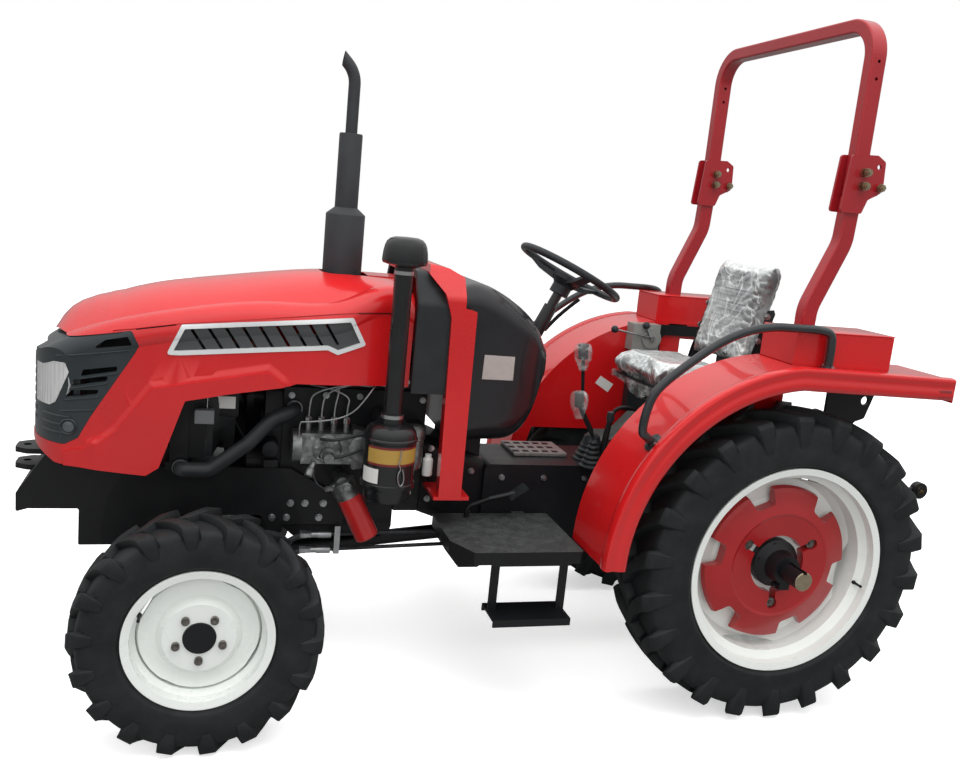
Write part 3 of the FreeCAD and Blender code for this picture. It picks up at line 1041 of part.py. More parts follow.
def fenders():
    keep("fenders", both_sides(fender()))
    x = rear_axle_x
    lift = sheet + seat_gap
    box_body = slab([(x + 70, fender_surface_z(x + 70, lift)), (x + 70, box_top_z), (x - 330, box_top_z),
                     (x - 330, fender_surface_z(x - 330, lift))], "y", fender_inner_y + 10, 636, 4.0)
    keep("fender_boxes", both_sides(box_body.cut(post_hole(1.0))))
    rail_y = 662.0
    lean = math.radians(36.7)
    foot = fender_arc_radius + lift

    def off_skin(distance):
        return (x + (foot + distance) * math.cos(lean), rail_y,
                fender_centre_z + (foot + distance) * math.sin(lean))

    rail = pipe([off_skin(0), off_skin(74), (x + 600, rail_y, rail_crest_z - 260),
                 (x + 400, rail_y, rail_crest_z - 84), (x + 210, rail_y, rail_crest_z),
                 (x - 20, rail_y, rail_crest_z), (x - 55, rail_y, rail_crest_z - 60),
                 (x - 55, rail_y, fender_surface_z(x - 55, lift))], 15.0, 60.0)
    keep("handrails", both_sides(rail))
    lamp = box(fender_tail_x - 20, fender_tail_x - 6 - seat_gap, 560, 700,
               fender_tail_z - 67, fender_tail_z - 2)
    keep("tail_lamps", both_sides(lamp))
    # black gusset plates that carry the fender, its box and the guard from the axle housing
    plate_y0, plate_y1 = fender_inner_y - 12.3, fender_inner_y - seat_gap
    saddle_top = rear_tyre_radius + 106
    under = mount_top - 1
    gusset = slab([(x + 74, saddle_top + seat_gap), (x - 78, saddle_top + seat_gap), (x - 400, under - 230),
                   (x - 440, under - 216), (x - 486, under - 66), (x - 486, under), (x + 74, under)],
                  "y", plate_y0, plate_y1, 14.0)
    window = slab([(x + 44, saddle_top + 78), (x - 50, saddle_top + 78), (x - 260, under - 286),
                   (x - 260, under - 46), (x + 44, under - 46)], "y", plate_y0 - 5, plate_y1 + 5, 30.0)
    eye = rod(17.0, (x - 430, plate_y0 - 5, under - 146), (x - 430, plate_y1 + 5, under - 146))
    flange = box(x - 78, x + 74, plate_y0 - 40, plate_y1, saddle_top + seat_gap, saddle_top + 12)
    arm = box(post_x - 42, post_x + 42, plate_y0, guard_y + 60,
              mount_top - seat_gap - 14, mount_top - seat_gap)
    keep("guard_mounts", both_sides(fuse(gusset.cut(window), flange, arm).cut(eye)))


def guard():
    x = rear_axle_x
    half = guard_tube_y / 2
    splice = guard_pivot_z
    post = square_pipe([(post_x, guard_y, mount_top), (post_x, guard_y, mount_top + 203),
                        (x - 140, guard_y, splice - 200), (guard_x + 4, guard_y, splice - 40)],
                       guard_tube_x / 2, half, guard_wall, 150.0)
    outline = [(x - 172, splice - 95), (x - 86, splice - 95), (x - 100, splice + 104),
               (x - 205, splice + 110),
               (x - 240, splice + 90), (x - 246, splice - 10), (x - 226, splice - 25), (x - 190, splice - 45)]
    outer_plate = slab(outline, "y", guard_y + half, guard_y + half + 10, 12.0)
    inner_plate = slab(outline, "y", guard_y - half - 10, guard_y - half, 12.0)
    bolts = [(x - 154, splice + 46), (x - 154, splice)]
    spare = rod(8.5, (x - 216, 400, splice + 71), (x - 216, 600, splice + 71))
    plates = fuse(outer_plate, inner_plate).cut(spare)
    pivot = rod(10.0, (guard_pivot_x, guard_y - half - 24, splice),
                (guard_pivot_x, guard_y + half + 24, splice))
    heads = []
    for bx, bz in bolts:
        heads.append(rod(15.0, (bx, guard_y + half + 10, bz), (bx, guard_y + half + 24, bz)))
        heads.append(rod(15.0, (bx, guard_y - half - 24, bz), (bx, guard_y - half - 10, bz)))
    keep("guard_posts", both_sides(fuse(post, plates, pivot, heads)))
    inner_half = half - running_gap
    top = guard_top_z - guard_tube_x / 2
    hoop_low = splice - 32
    hoop = square_pipe([(guard_x, -guard_y, hoop_low), (guard_x, -guard_y, top), (guard_x, guard_y, top),
                        (guard_x, guard_y, hoop_low)], guard_tube_x / 2, inner_half, guard_wall, 120.0)
    lug = slab([(guard_x - 26, splice - 28), (guard_pivot_x - 4, splice - 28),
                (guard_pivot_x - 22, splice - 15),
                (guard_pivot_x - 22, splice + 15), (guard_pivot_x - 4, splice + 28),
                (guard_x - 26, splice + 50)],
               "y", guard_y - inner_half, guard_y + inner_half, 8.0)
    hoop = fuse(hoop, both_sides(lug))
    bore = rod(10.0 + pin_gap, (guard_pivot_x, -700, guard_pivot_z), (guard_pivot_x, 700, guard_pivot_z))
    holes = [rod(8.5, (bx, -700, bz), (bx, 700, bz)) for bx, bz in bolts]
    lamp_holes = [rod(6.0, (guard_x, -700, guard_top_z - down), (guard_x, 700, guard_top_z - down))
                  for down in (162, 220)]
    keep("guard_hoop", hoop.cut(Part.makeCompound([bore] + holes + lamp_holes)))


# ---------------------------------------------------------------- build and write
for build in (wheels, front_axle, knuckles, front_frame, radiator, filters, hoses, driveline, hitch,
              hood, arch, cowl, platform, seat, fenders, guard):
    build()

os.makedirs("parts", exist_ok=True)
low, high = V(1e9, 1e9, 1e9), V(-1e9, -1e9, -1e9)
for name, shape in parts.items():
    shape.exportStep("parts/" + name + ".step")
    bounds = shape.BoundBox
    low = V(min(low.x, bounds.XMin), min(low.y, bounds.YMin), min(low.z, bounds.ZMin))
    high = V(max(high.x, bounds.XMax), max(high.y, bounds.YMax), max(high.z, bounds.ZMax))
    print(name, "solids", len(shape.Solids), "valid", shape.isValid(), "volume %.3f l" % (shape.Volume / 1e6),
          "faces", len(shape.Faces))
print("box", low, high, "nodes", len(parts))
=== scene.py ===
# A four-wheel-drive utility tractor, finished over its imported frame.
# The sections follow the tractor as it goes down the line: castings, wheels, steering, engine, tinwork,
# controls, seat, mudguards and roll-over guard, and last the studio it stands in.
import json
from math import copysign, cos, hypot, pi, radians, sin
import bmesh
import bpy
import numpy as np
from mathutils import Matrix, Vector
from mathutils.bvhtree import BVHTree


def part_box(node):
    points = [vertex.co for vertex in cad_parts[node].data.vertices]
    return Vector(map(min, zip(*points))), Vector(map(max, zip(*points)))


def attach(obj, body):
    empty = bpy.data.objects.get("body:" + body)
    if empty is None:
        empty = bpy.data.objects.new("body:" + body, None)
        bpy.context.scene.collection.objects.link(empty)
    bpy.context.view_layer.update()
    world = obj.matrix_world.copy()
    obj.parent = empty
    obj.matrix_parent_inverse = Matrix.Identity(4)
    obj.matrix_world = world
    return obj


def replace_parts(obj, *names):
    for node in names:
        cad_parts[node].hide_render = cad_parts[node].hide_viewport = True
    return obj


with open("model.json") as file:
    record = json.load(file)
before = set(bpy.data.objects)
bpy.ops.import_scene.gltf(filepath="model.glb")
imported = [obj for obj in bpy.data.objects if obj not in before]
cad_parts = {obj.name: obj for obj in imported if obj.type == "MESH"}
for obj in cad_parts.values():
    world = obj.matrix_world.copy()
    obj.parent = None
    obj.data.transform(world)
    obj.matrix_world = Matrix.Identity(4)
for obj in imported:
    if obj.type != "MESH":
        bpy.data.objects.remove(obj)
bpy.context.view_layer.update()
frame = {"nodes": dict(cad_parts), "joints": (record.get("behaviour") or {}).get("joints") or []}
node = frame["nodes"]
joint = {entry["name"]: entry for entry in frame["joints"]}
front_axle_x = joint["steer_left"]["pos_m"][0]
rear_axle_x = joint["rear_left_spin"]["pos_m"][0]

# ---- Chassis castings ----
# Grey iron and welded plate, sand cast or cut, sprayed black after assembly: a satin film over a
# pebbled casting skin. Plate bolts are zinc plated and go in after the paint.


def colour(hex_code):
    """An sRGB hex colour as linear RGBA."""
    parts = [int(hex_code[i:i + 2], 16) / 255 for i in (0, 2, 4)]
    return tuple(c / 12.92 if c <= 0.04045 else ((c + 0.055) / 1.055) ** 2.4 for c in parts) + (1.0,)


def add(tree, kind, links=None, **settings):
    """Adds one node: settings are its properties, links its inputs' values, or a socket or node to take."""
    made = tree.nodes.new(kind)
    for key, value in settings.items():
        setattr(made, key, value)
    for key, value in (links or {}).items():
        socket = made.inputs[key]
        if isinstance(value, bpy.types.Node):
            value = value.outputs[0]
        if isinstance(value, bpy.types.NodeSocket):
            tree.links.new(value, socket)
        else:
            socket.default_value = value
    return made


def new_material(name):
    """An empty material, and its tree; pieces finished in it go in its slot."""
    material = bpy.data.materials.new(name)
    material.use_nodes = True
    material.node_tree.nodes.clear()
    return material, material.node_tree


def finish(name, fresh, aged, rough, metallic=0.0, coat=0.0, patch_mm=150.0, patch_share=0.4,
           grain_mm=(2.0, 0.05), rough_swing=0.1, peel_mm=0.0, shine=0.5):
    """A painted, plated, moulded or rubber surface.

    Its colour drifts from fresh to aged in soft patches, its roughness drifts with them, and a fine
    grain of the given size and depth lies all over, under orange peel where paint was sprayed. Sizes
    are millimetres on the object.
    """
    material, tree = new_material(name)
    place = add(tree, "ShaderNodeTexCoord").outputs["Object"]
    patches = add(tree, "ShaderNodeTexNoise", {"Vector": place, "Scale": 1000 / patch_mm, "Detail": 5.0,
                                               "Roughness": 0.62})
    spread = add(tree, "ShaderNodeMapRange", {"Value": patches, "From Min": 0.4, "From Max": 0.7,
                                              "To Max": patch_share})
    tint = add(tree, "ShaderNodeMix", {0: spread, 6: colour(fresh), 7: colour(aged)}, data_type="RGBA")
    gloss = add(tree, "ShaderNodeMapRange", {"Value": patches, "From Min": 0.3, "From Max": 0.7,
                                             "To Min": rough, "To Max": rough + rough_swing})
    grain = add(tree, "ShaderNodeTexNoise", {"Vector": place, "Scale": 1000 / grain_mm[0], "Detail": 3.0})
    relief = add(tree, "ShaderNodeBump", {"Height": grain, "Distance": grain_mm[1] / 1000})
    if peel_mm:
        peel = add(tree, "ShaderNodeTexNoise", {"Vector": place, "Scale": 1000 / peel_mm, "Detail": 1.0})
        relief = add(tree, "ShaderNodeBump", {"Height": peel, "Distance": 0.0002, "Normal": relief})
    shade = add(tree, "ShaderNodeBsdfPrincipled", {
        "Base Color": tint.outputs[2], "Roughness": gloss, "Metallic": metallic, "Coat Weight": coat,
        "Coat Roughness": 0.05, "Specular IOR Level": shine, "Normal": relief})
    add(tree, "ShaderNodeOutputMaterial", {"Surface": shade})
    return material


def dress(material, *names):
    """Gives CAD nodes one finish."""
    for name in names:
        node[name].data.materials.clear()
        node[name].data.materials.append(material)


def paint_part(name, material, picked):
    """Gives a second finish to those faces of a CAD node whose middle and normal picked() accepts."""
    mesh = node[name].data
    mesh.materials.append(material)
    last = len(mesh.materials) - 1
    for face in mesh.polygons:
        if picked(face.center, face.normal):
            face.material_index = last


def settle(name, mesh, material, body="chassis", sharp_deg=35.0):
    """Links a finished mesh as a piece on a body, smooth but for edges sharper than sharp_deg."""
    if material:
        mesh.materials.clear()
        mesh.materials.append(material)
    mesh.shade_smooth()
    mesh.set_sharp_from_angle(angle=radians(sharp_deg))
    made = bpy.data.objects.new(name, mesh)
    bpy.context.scene.collection.objects.link(made)
    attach(made, body)
    return made


def mesh_of(name, points, faces):
    mesh = bpy.data.meshes.new(name)
    mesh.from_pydata([tuple(p) for p in points], [], faces)
    mesh.validate()
    return mesh


def drawn_plain(carrier):
    """The plain mesh that an object's modifiers or curve settings make; the object itself goes."""
    bpy.context.scene.collection.objects.link(carrier)
    graph = bpy.context.evaluated_depsgraph_get()
    graph.update()
    made = bpy.data.meshes.new_from_object(carrier.evaluated_get(graph), depsgraph=graph)
    bpy.data.objects.remove(carrier)
    return made


# black alkyd over sand castings: pebbled skin, satin, dust dulled
casting_paint = finish("satin_black_paint_on_sand_castings", "0E0F12", "1B1C1F", 0.42, coat=0.1, shine=0.35,
                       grain_mm=(2.5, 0.35))
# the same paint over flame-cut plate and tube: smoother and glossier
plate_paint = finish("gloss_black_paint_on_steel_plate", "0D0E10", "191A1C", 0.4, coat=0.12, shine=0.35,
                     grain_mm=(5.0, 0.05), peel_mm=7.0)
# electro zinc on fasteners: pale bluish metal
zinc_plate = finish("zinc_plated_fasteners", "C3C5C6", "96989A", 0.28, metallic=1.0, grain_mm=(0.6, 0.02),
                    patch_mm=25.0)
dress(casting_paint, "front_axle", "knuckle_left", "knuckle_right", "engine_block", "timing_cover",
      "gearbox", "rear_axle")
dress(plate_paint, "front_frame", "radiator", "drive_shaft")


def grow(mesh, tree, values):
    """Runs a Geometry Nodes tree on a mesh and returns the plain mesh it makes."""
    carrier = bpy.data.objects.new(tree.name, mesh)
    maker = carrier.modifiers.new("grow", "NODES")
    maker.node_group = tree
    for socket in tree.interface.items_tree:
        if socket.item_type == "SOCKET" and socket.in_out == "INPUT" and socket.name in values:
            maker[socket.identifier] = values[socket.name]
    return drawn_plain(carrier)


def new_tree(name, inputs):
    """An empty Geometry Nodes tree with a mesh in, a mesh out and named inputs; also its group input."""
    tree = bpy.data.node_groups.new(name, "GeometryNodeTree")
    tree.interface.new_socket("Geometry", in_out="INPUT", socket_type="NodeSocketGeometry")
    for title, kind in inputs.items():
        tree.interface.new_socket(title, in_out="INPUT", socket_type="NodeSocket" + kind)
    tree.interface.new_socket("Geometry", in_out="OUTPUT", socket_type="NodeSocketGeometry")
    return tree, add(tree, "NodeGroupInput").outputs


def finish_tree(tree, instances, material):
    """Every tree ends the same way: real geometry with its finish set."""
    real = add(tree, "GeometryNodeRealizeInstances", {"Geometry": instances})
    made = add(tree, "GeometryNodeSetMaterial", {"Geometry": real, "Material": material})
    add(tree, "NodeGroupOutput", {0: made})


# a flanged hexagon head with its washer and the stub of its thread, one on every point
hex_tree, given = new_tree("hex_bolts", {"Across flats": "Float", "Head height": "Float",
                                         "Material": "Material"})
flats, tall = given["Across flats"], given["Head height"]
sizes = ((flats, 0.68), (flats, 0.577), (flats, 0.3), (tall, 0.25), (tall, 0.7), (tall, 1.1))
washer_wide, head_wide, stub_wide, washer_tall, head_mid, stub_mid = [
    add(hex_tree, "ShaderNodeMath", {0: size, 1: share}, operation="MULTIPLY") for size, share in sizes]
stack = []
for sides, wide, depth, middle in ((20, washer_wide, washer_tall, None), (6, head_wide, tall, head_mid),
                                   (10, stub_wide, tall, stub_mid)):
    barrel = add(hex_tree, "GeometryNodeMeshCylinder", {"Vertices": sides, "Radius": wide, "Depth": depth})
    if middle:
        lift = add(hex_tree, "ShaderNodeCombineXYZ", {"Z": middle})
        barrel = add(hex_tree, "GeometryNodeTransform", {"Geometry": barrel, "Translation": lift})
    stack.append(barrel)
bolt_shape = add(hex_tree, "GeometryNodeJoinGeometry")
for shape in stack:
    hex_tree.links.new(shape.outputs[0], bolt_shape.inputs[0])
outward = add(hex_tree, "GeometryNodeInputNamedAttribute", {"Name": "outward"}, data_type="FLOAT_VECTOR")
turn = add(hex_tree, "FunctionNodeAlignRotationToVector", {"Vector": outward}, axis="Z")
placed = add(hex_tree, "GeometryNodeInstanceOnPoints", {
    "Points": given["Geometry"], "Instance": bolt_shape, "Rotation": turn})
finish_tree(hex_tree, placed, given["Material"])


def at(spot):
    """A tuple of millimetres, ahead of the front axle, left and up, as a Vector; a Vector stays as it is."""
    if isinstance(spot, Vector):
        return spot
    return Vector((front_axle_x + spot[0] / 1000, spot[1] / 1000, spot[2] / 1000))


def bolts(name, seats, flats_mm, tall_mm, material=zinc_plate):
    """Hex bolts on seats, a list of (point, outward direction)."""
    mesh = mesh_of(name, [at(point) for point, way in seats], [])
    outwards = mesh.attributes.new("outward", "FLOAT_VECTOR", "POINT")
    for i, (point, way) in enumerate(seats):
        outwards.data[i].vector = way
    made = grow(mesh, hex_tree, {"Across flats": flats_mm / 1000, "Head height": tall_mm / 1000,
                                 "Material": material})
    settle(name, made, None)


# the CAD skins that fasteners and trim sit on, and a search tree for each one in use
skins = {name: made.data for name, made in node.items()}
search = {}


def seat_on(name, start, way):
    """Where a line from start along way first meets a CAD node: the point and the face's normal."""
    if name not in search:
        search[name] = BVHTree.FromPolygons([v.co for v in skins[name].vertices],
                                            [tuple(face.vertices) for face in skins[name].polygons])
    point, normal = search[name].ray_cast(at(start), Vector(way))[:2]
    if point is None:
        raise ValueError(f"no seat on {name} from {tuple(start)}")
    return point, normal


def side_seats(name, spots, far=1200):
    """Seats on both sides of a node, seen square on; spots are (ahead of the front axle, height)."""
    return [seat_on(name, (x, side * far, z), (0, -side, 0)) for side in (1, -1) for x, z in spots]


plate_spots = [(-291, 645), (-342, 645), (-407, 645), (-229, 592), (-280, 592), (-394, 592)]
bolts("frame_plate_bolts", side_seats("front_frame", plate_spots), 19, 10)
block_spots = [(-300, 880), (-300, 680), (-360, 680), (-420, 680), (-560, 900), (-560, 680), (-660, 900),
               (-720, 780), (-720, 680)]
bolts("engine_side_bolts", side_seats("engine_block", block_spots), 14, 8)

# ---- Wheels ----
# Cross-ply drive tyres with raked bar lugs, moulded in one piece of black rubber. The rims are rolled
# steel in white enamel with a pressed disc; the rear pair carry red cast weights held by three bolts.
white_enamel = finish("white_stoving_enamel_on_rolled_steel", "ECF0EC", "DEE0DB", 0.24, coat=0.5,
                      patch_mm=220.0, grain_mm=(6.0, 0.03), peel_mm=9.0)
red_enamel = finish("red_stoving_enamel_on_pressed_steel", "C6181B", "B01417", 0.22, coat=0.6,
                    patch_mm=400.0, patch_share=0.5, grain_mm=(7.0, 0.02), rough_swing=0.06,
                    peel_mm=8.0)
cast_red = finish("red_enamel_on_cast_iron", "A4161A", "8A1316", 0.3, coat=0.35, patch_mm=160.0,
                  grain_mm=(3.0, 0.25))
machined_steel = finish("turned_bare_steel", "B7A98E", "8C8173", 0.3, metallic=1.0, patch_mm=20.0,
                        grain_mm=(0.8, 0.03))
nut_steel = finish("oiled_steel_nuts", "8F8A84", "4E4A46", 0.32, metallic=1.0, patch_mm=9.0,
                   patch_share=0.9, grain_mm=(0.8, 0.05))

# tyre rubber: matt black bloomed grey, with a fine mould texture
tyre_rubber, tree = new_material("vulcanised_tyre_rubber")
place = add(tree, "ShaderNodeTexCoord").outputs["Object"]
bloom = add(tree, "ShaderNodeTexNoise", {"Vector": place, "Scale": 1000 / 90,
                                         "Detail": 6.0, "Roughness": 0.65})
bloom_share = add(tree, "ShaderNodeMapRange", {"Value": bloom, "From Min": 0.42,
                                               "From Max": 0.72, "To Max": 0.55})
tint = add(tree, "ShaderNodeMix", {0: bloom_share, 6: colour("171A1B"), 7: colour("2B2E2F")},
           data_type="RGBA")
skin = add(tree, "ShaderNodeTexNoise", {"Vector": place, "Scale": 1000 / 1.2, "Detail": 3.0})
relief = add(tree, "ShaderNodeBump", {"Height": skin, "Distance": 0.0003})
shade = add(tree, "ShaderNodeBsdfPrincipled", {"Base Color": tint.outputs[2], "Roughness": 0.55,
                                               "Specular IOR Level": 0.35, "Normal": relief})
add(tree, "ShaderNodeOutputMaterial", {"Surface": shade})


def soften(points, rounds=2):
    """Cuts the corners of an open outline, keeping its two ends."""
    for _ in range(rounds):
        cut = [points[0]]
        for a, b in zip(points, points[1:]):
            cut.append(tuple(p * 0.75 + q * 0.25 for p, q in zip(a, b)))
            cut.append(tuple(p * 0.25 + q * 0.75 for p, q in zip(a, b)))
        points = cut + [points[-1]]
    return points


def woven(rows, count, around=True, closed=False):
    """Faces over rows of count points; around joins each row's ends, closed the last row to the first."""
    faces = []
    for j in range(rows if closed else rows - 1):
        here, there = j * count, (j + 1) % rows * count
        faces += [(here + i, here + (i + 1) % count, there + (i + 1) % count, there + i)
                  for i in range(count if around else count - 1)]
    return faces


def spun(profile, sides, centre, closed=True):
    """Points and faces of a profile of (radius, y) turned about a line along Y through centre."""
    points = []
    for i in range(sides):
        angle = 2 * pi * i / sides
        points += [Vector(centre) + Vector((radius * sin(angle), y, radius * cos(angle)))
                   for radius, y in profile]
    return points, woven(sides, len(profile), closed, True)


lug_tree, given = new_tree("bar_lugs", {"Lugs a side": "Int", "Axle": "Vector", "Material": "Material"})
spots = add(lug_tree, "GeometryNodePoints", {"Count": given["Lugs a side"]})
index = add(lug_tree, "GeometryNodeInputIndex")
pitch = add(lug_tree, "ShaderNodeMath", {0: 2 * pi, 1: given["Lugs a side"]}, operation="DIVIDE")
angle = add(lug_tree, "ShaderNodeMath", {0: index, 1: pitch}, operation="MULTIPLY")
spin = add(lug_tree, "ShaderNodeCombineXYZ", {"Y": angle})
ring = add(lug_tree, "GeometryNodeInstanceOnPoints", {
    "Points": spots, "Instance": given["Geometry"], "Rotation": spin})
carried = add(lug_tree, "GeometryNodeTransform", {"Geometry": ring, "Translation": given["Axle"]})
finish_tree(lug_tree, carried, given["Material"])


def lug_pair(radius, half, depth, lugs, thick, side_drop):
    """One lug each side, half a pitch apart: a raked bar that thickens outwards and drops down the wall.

    Each station is (drop of the top, y of the top, drop of the foot, y of the foot, half width of the
    top, half width of the foot): drops from the tyre's radius, y as shares of half and widths of thick.
    """
    low, mid = depth + 0.010, side_drop * 0.6
    stations = [(0.002, -0.14, low, -0.14, 0.36, 0.52), (0, 0.10, low, 0.10, 0.40, 0.56),
                (0, 0.40, low, 0.40, 0.44, 0.62), (0.003, 0.68, low, 0.68, 0.50, 0.68),
                (0.008, 0.90, low + 0.006, 0.86, 0.54, 0.72), (0.022, 0.985, low + 0.020, 0.90, 0.50, 0.70),
                (mid, 1, mid, 0.90, 0.42, 0.60), (side_drop, 0.975, side_drop, 0.90, 0.32, 0.44)]
    points, faces = [], []
    for side, offset in ((1, 0.0), (-1, pi / lugs)):
        first = len(points)
        for top_drop, top_y, foot_drop, foot_y, top_w, foot_w in stations:
            reach = half * (min(top_y, 0.86) + 0.14)
            rake = -(reach * 0.95 + 0.10 * half * sin(pi * reach / half)) / radius - offset
            top, foot = (radius - top_drop, top_y, top_w), (radius - foot_drop, foot_y, foot_w)
            for (r, y, w), hand in ((foot, -1), (top, -1), (top, 1), (foot, 1)):
                a = rake + hand * w * thick / radius
                points.append((r * sin(a), side * y * half, r * cos(a)))
        last = len(points) - 4
        made = [tuple(first + v for v in quad)[::-1] for quad in woven(len(stations), 4)]
        made += [(first, first + 1, first + 2, first + 3), (last + 3, last + 2, last + 1, last)]
        faces += made if side > 0 else [face[::-1] for face in made]
    return points, faces


def rounded_edges(mesh, width, segments=2):
    """Bevels a mesh's sharp edges and returns the plain result."""
    carrier = bpy.data.objects.new("rounding", mesh)
    bevel = carrier.modifiers.new("round", "BEVEL")
    bevel.width, bevel.segments = width, segments
    bevel.limit_method, bevel.angle_limit = "ANGLE", radians(30)
    return drawn_plain(carrier)


def tyre(end, side, axle, half, rim_radius, rim_half, lugs, depth, thick, side_drop):
    """Carcass and lugs of one tyre; the carcass stands in for the plain solid."""
    wheel = f"{end}_wheel_{side}"
    tread, bead = axle.z - depth, rim_radius - 0.016
    wall = soften([(bead, rim_half - 0.011), (rim_radius + 0.004, rim_half - 0.006),
                   (rim_radius + 0.012, rim_half + 0.006), (rim_radius + 0.018, rim_half + 0.010),
                   ((rim_radius + tread) / 2 - 0.01, 0.965 * half), (tread - 0.055, 0.955 * half),
                   (tread - 0.022, 0.90 * half), (tread - 0.006, 0.80 * half),
                   (tread, 0.5 * half), (tread, 0.0)])
    outside = wall + [(r, -y) for r, y in reversed(wall[:-1])]
    liner = [(bead, rim_half - 0.030), (rim_radius + 0.03, rim_half - 0.028), (tread - 0.04, half - 0.035)]
    inside = [(r, -y) for r, y in liner] + [(tread - 0.03, 0.0)] + liner[::-1]
    points, faces = spun(outside + inside, 120, axle)
    carcass = settle(f"{end}_carcass_{side}", mesh_of("carcass", points, [f[::-1] for f in faces]),
                     tyre_rubber, wheel, sharp_deg=50.0)
    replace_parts(carcass, f"{end}_tyre_{side}")
    points, faces = lug_pair(axle.z, half, depth, lugs, thick, side_drop)
    pair = rounded_edges(mesh_of("lug_pair", points, faces), 0.0025)
    made = grow(pair, lug_tree, {"Lugs a side": lugs, "Axle": axle, "Material": tyre_rubber})
    settle(f"{end}_lugs_{side}", made, None, wheel, 40.0)


front_half_y, rear_half_y = [(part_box(f"{end}_tyre_left")[1].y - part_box(f"{end}_tyre_left")[0].y) / 2
                             for end in ("front", "rear")]
both_sides = (("left", 1), ("right", -1))
# where the nuts and the bare shaft ends stand out from the hubs, and how far round the axle the nuts sit
front_nuts_y, front_nuts_reach = 0.655, 0.052
rear_nuts_y, rear_nuts_reach, shaft_end_y = 0.615, 0.12, 0.797
# profile of a rubber valve: radius, and distance out of the rim
valve = [(0.0, 0.0), (0.008, 0.0), (0.008, 0.004), (0.0045, 0.012), (0.0042, 0.034), (0.005, 0.036),
         (0.005, 0.044), (0.0, 0.044)]
for side, hand in both_sides:
    front_axle = Vector(joint[f"front_{side}_spin"]["pos_m"])
    rear_axle = Vector(joint[f"rear_{side}_spin"]["pos_m"])
    tyre("front", side, front_axle, front_half_y, rim_radius=0.225, rim_half=0.076, lugs=18, depth=0.024,
         thick=0.046, side_drop=0.078)
    tyre("rear", side, rear_axle, rear_half_y, rim_radius=0.381, rim_half=0.132, lugs=22, depth=0.034,
         thick=0.058, side_drop=0.120)
    dress(white_enamel, f"front_rim_{side}", f"rear_rim_{side}")
    dress(cast_red, f"rear_weight_{side}")
    dress(casting_paint, f"front_hub_{side}", f"rear_hub_{side}")
    paint_part(f"front_hub_{side}", nut_steel, lambda centre, normal: abs(centre.y) > front_nuts_y and
               hypot(centre.x - front_axle.x, centre.z - front_axle.z) > front_nuts_reach)
    paint_part(f"rear_hub_{side}", machined_steel, lambda centre, normal: abs(centre.y) > shaft_end_y)
    paint_part(f"rear_hub_{side}", nut_steel, lambda centre, normal: abs(centre.y) > rear_nuts_y and
               hypot(centre.x - rear_axle.x, centre.z - rear_axle.z) > rear_nuts_reach)
    # rubber tyre valves, one through each rim
    for end, axle, reach, turn_deg, out in (("front", front_axle, 0.192, 25.0, 0.050),
                                            ("rear", rear_axle, 0.338, 192.0, 0.075)):
        around = radians(turn_deg) * hand
        seat = axle + Vector((reach * cos(around), hand * out, reach * sin(around)))
        points, faces = spun([(r, hand * y) for r, y in valve], 16, seat, closed=False)
        if hand > 0:
            faces = [f[::-1] for f in faces]
        settle(f"{end}_valve_{side}", mesh_of("valve", points, faces), tyre_rubber, f"{end}_wheel_{side}")

# ---- Steering and hydraulic lines ----
# Track rod and steering cylinder in black paint, the piston rod hard chromed. Two steel lines run
# along the left side in zinc-plated fittings and a plated clamp; black hoses lead on to the cylinder.
hard_chrome = finish("hard_chrome", "E4E6E8", "C2C5C8", 0.08, metallic=1.0, grain_mm=(0.6, 0.005),
                     patch_mm=60.0, rough_swing=0.05)
line_paint = finish("black_paint_on_drawn_tube", "2A2B2D", "55565A", 0.24, metallic=0.6, patch_mm=70.0,
                    grain_mm=(1.0, 0.02))
hose_rubber = finish("extruded_black_rubber", "1D2022", "2E3335", 0.42, patch_mm=60.0, grain_mm=(1.2, 0.06),
                     rough_swing=0.15)
dress(plate_paint, "tie_rod", "steering_cylinder")
dress(hard_chrome, "cylinder_rod")
dress(line_paint, "hydraulic_lines")
# how far behind the front axle the fittings end, and the clamp between its two edges
fittings_back, clamp_front, clamp_back, clamp_y = 0.4402, 0.451, 0.473, 0.212
paint_part("hydraulic_lines", zinc_plate, lambda centre, normal: centre.x > front_axle_x - fittings_back or
           front_axle_x - clamp_back < centre.x < front_axle_x - clamp_front and centre.y < clamp_y)
dress(hose_rubber, "coolant_hoses")


def piping(name, points, radius_mm, material, sides=5, body="chassis"):
    """A round hose, wire or tube that curves smoothly along points."""
    curve = bpy.data.curves.new(name, "CURVE")
    curve.dimensions = "3D"
    curve.bevel_depth, curve.bevel_resolution = radius_mm / 1000, sides
    curve.use_fill_caps = True
    spline = curve.splines.new("NURBS")
    spline.points.add(len(points) - 1)
    for knot, point in zip(spline.points, points):
        knot.co = (*at(point), 1.0)
    spline.order_u, spline.resolution_u = 3, 10
    spline.use_endpoint_u = True
    return settle(name, drawn_plain(bpy.data.objects.new(name, curve)), material, body)


def turned_piece(name, profile, start, way, material, sides=32, body="chassis"):
    """A lathe-turned piece: profile of (radius, distance along way) in millimetres, closed at both ends."""
    if profile[0][0]:
        profile = [(0, profile[0][1])] + profile
    if profile[-1][0]:
        profile = profile + [(0, profile[-1][1])]
    start, way = at(start), Vector(way).normalized()
    swing = Vector((0, 1, 0)).rotation_difference(way)
    points, faces = spun([(max(r, 0.1) / 1000, y / 1000) for r, y in profile], sides, (0, 0, 0), closed=False)
    count = len(profile)
    faces.append(tuple(i * count for i in range(sides)))
    faces.append(tuple(i * count + count - 1 for i in reversed(range(sides))))
    mesh = mesh_of(name, [start + swing @ p for p in points], [f[::-1] for f in faces])
    return settle(name, mesh, material, body)


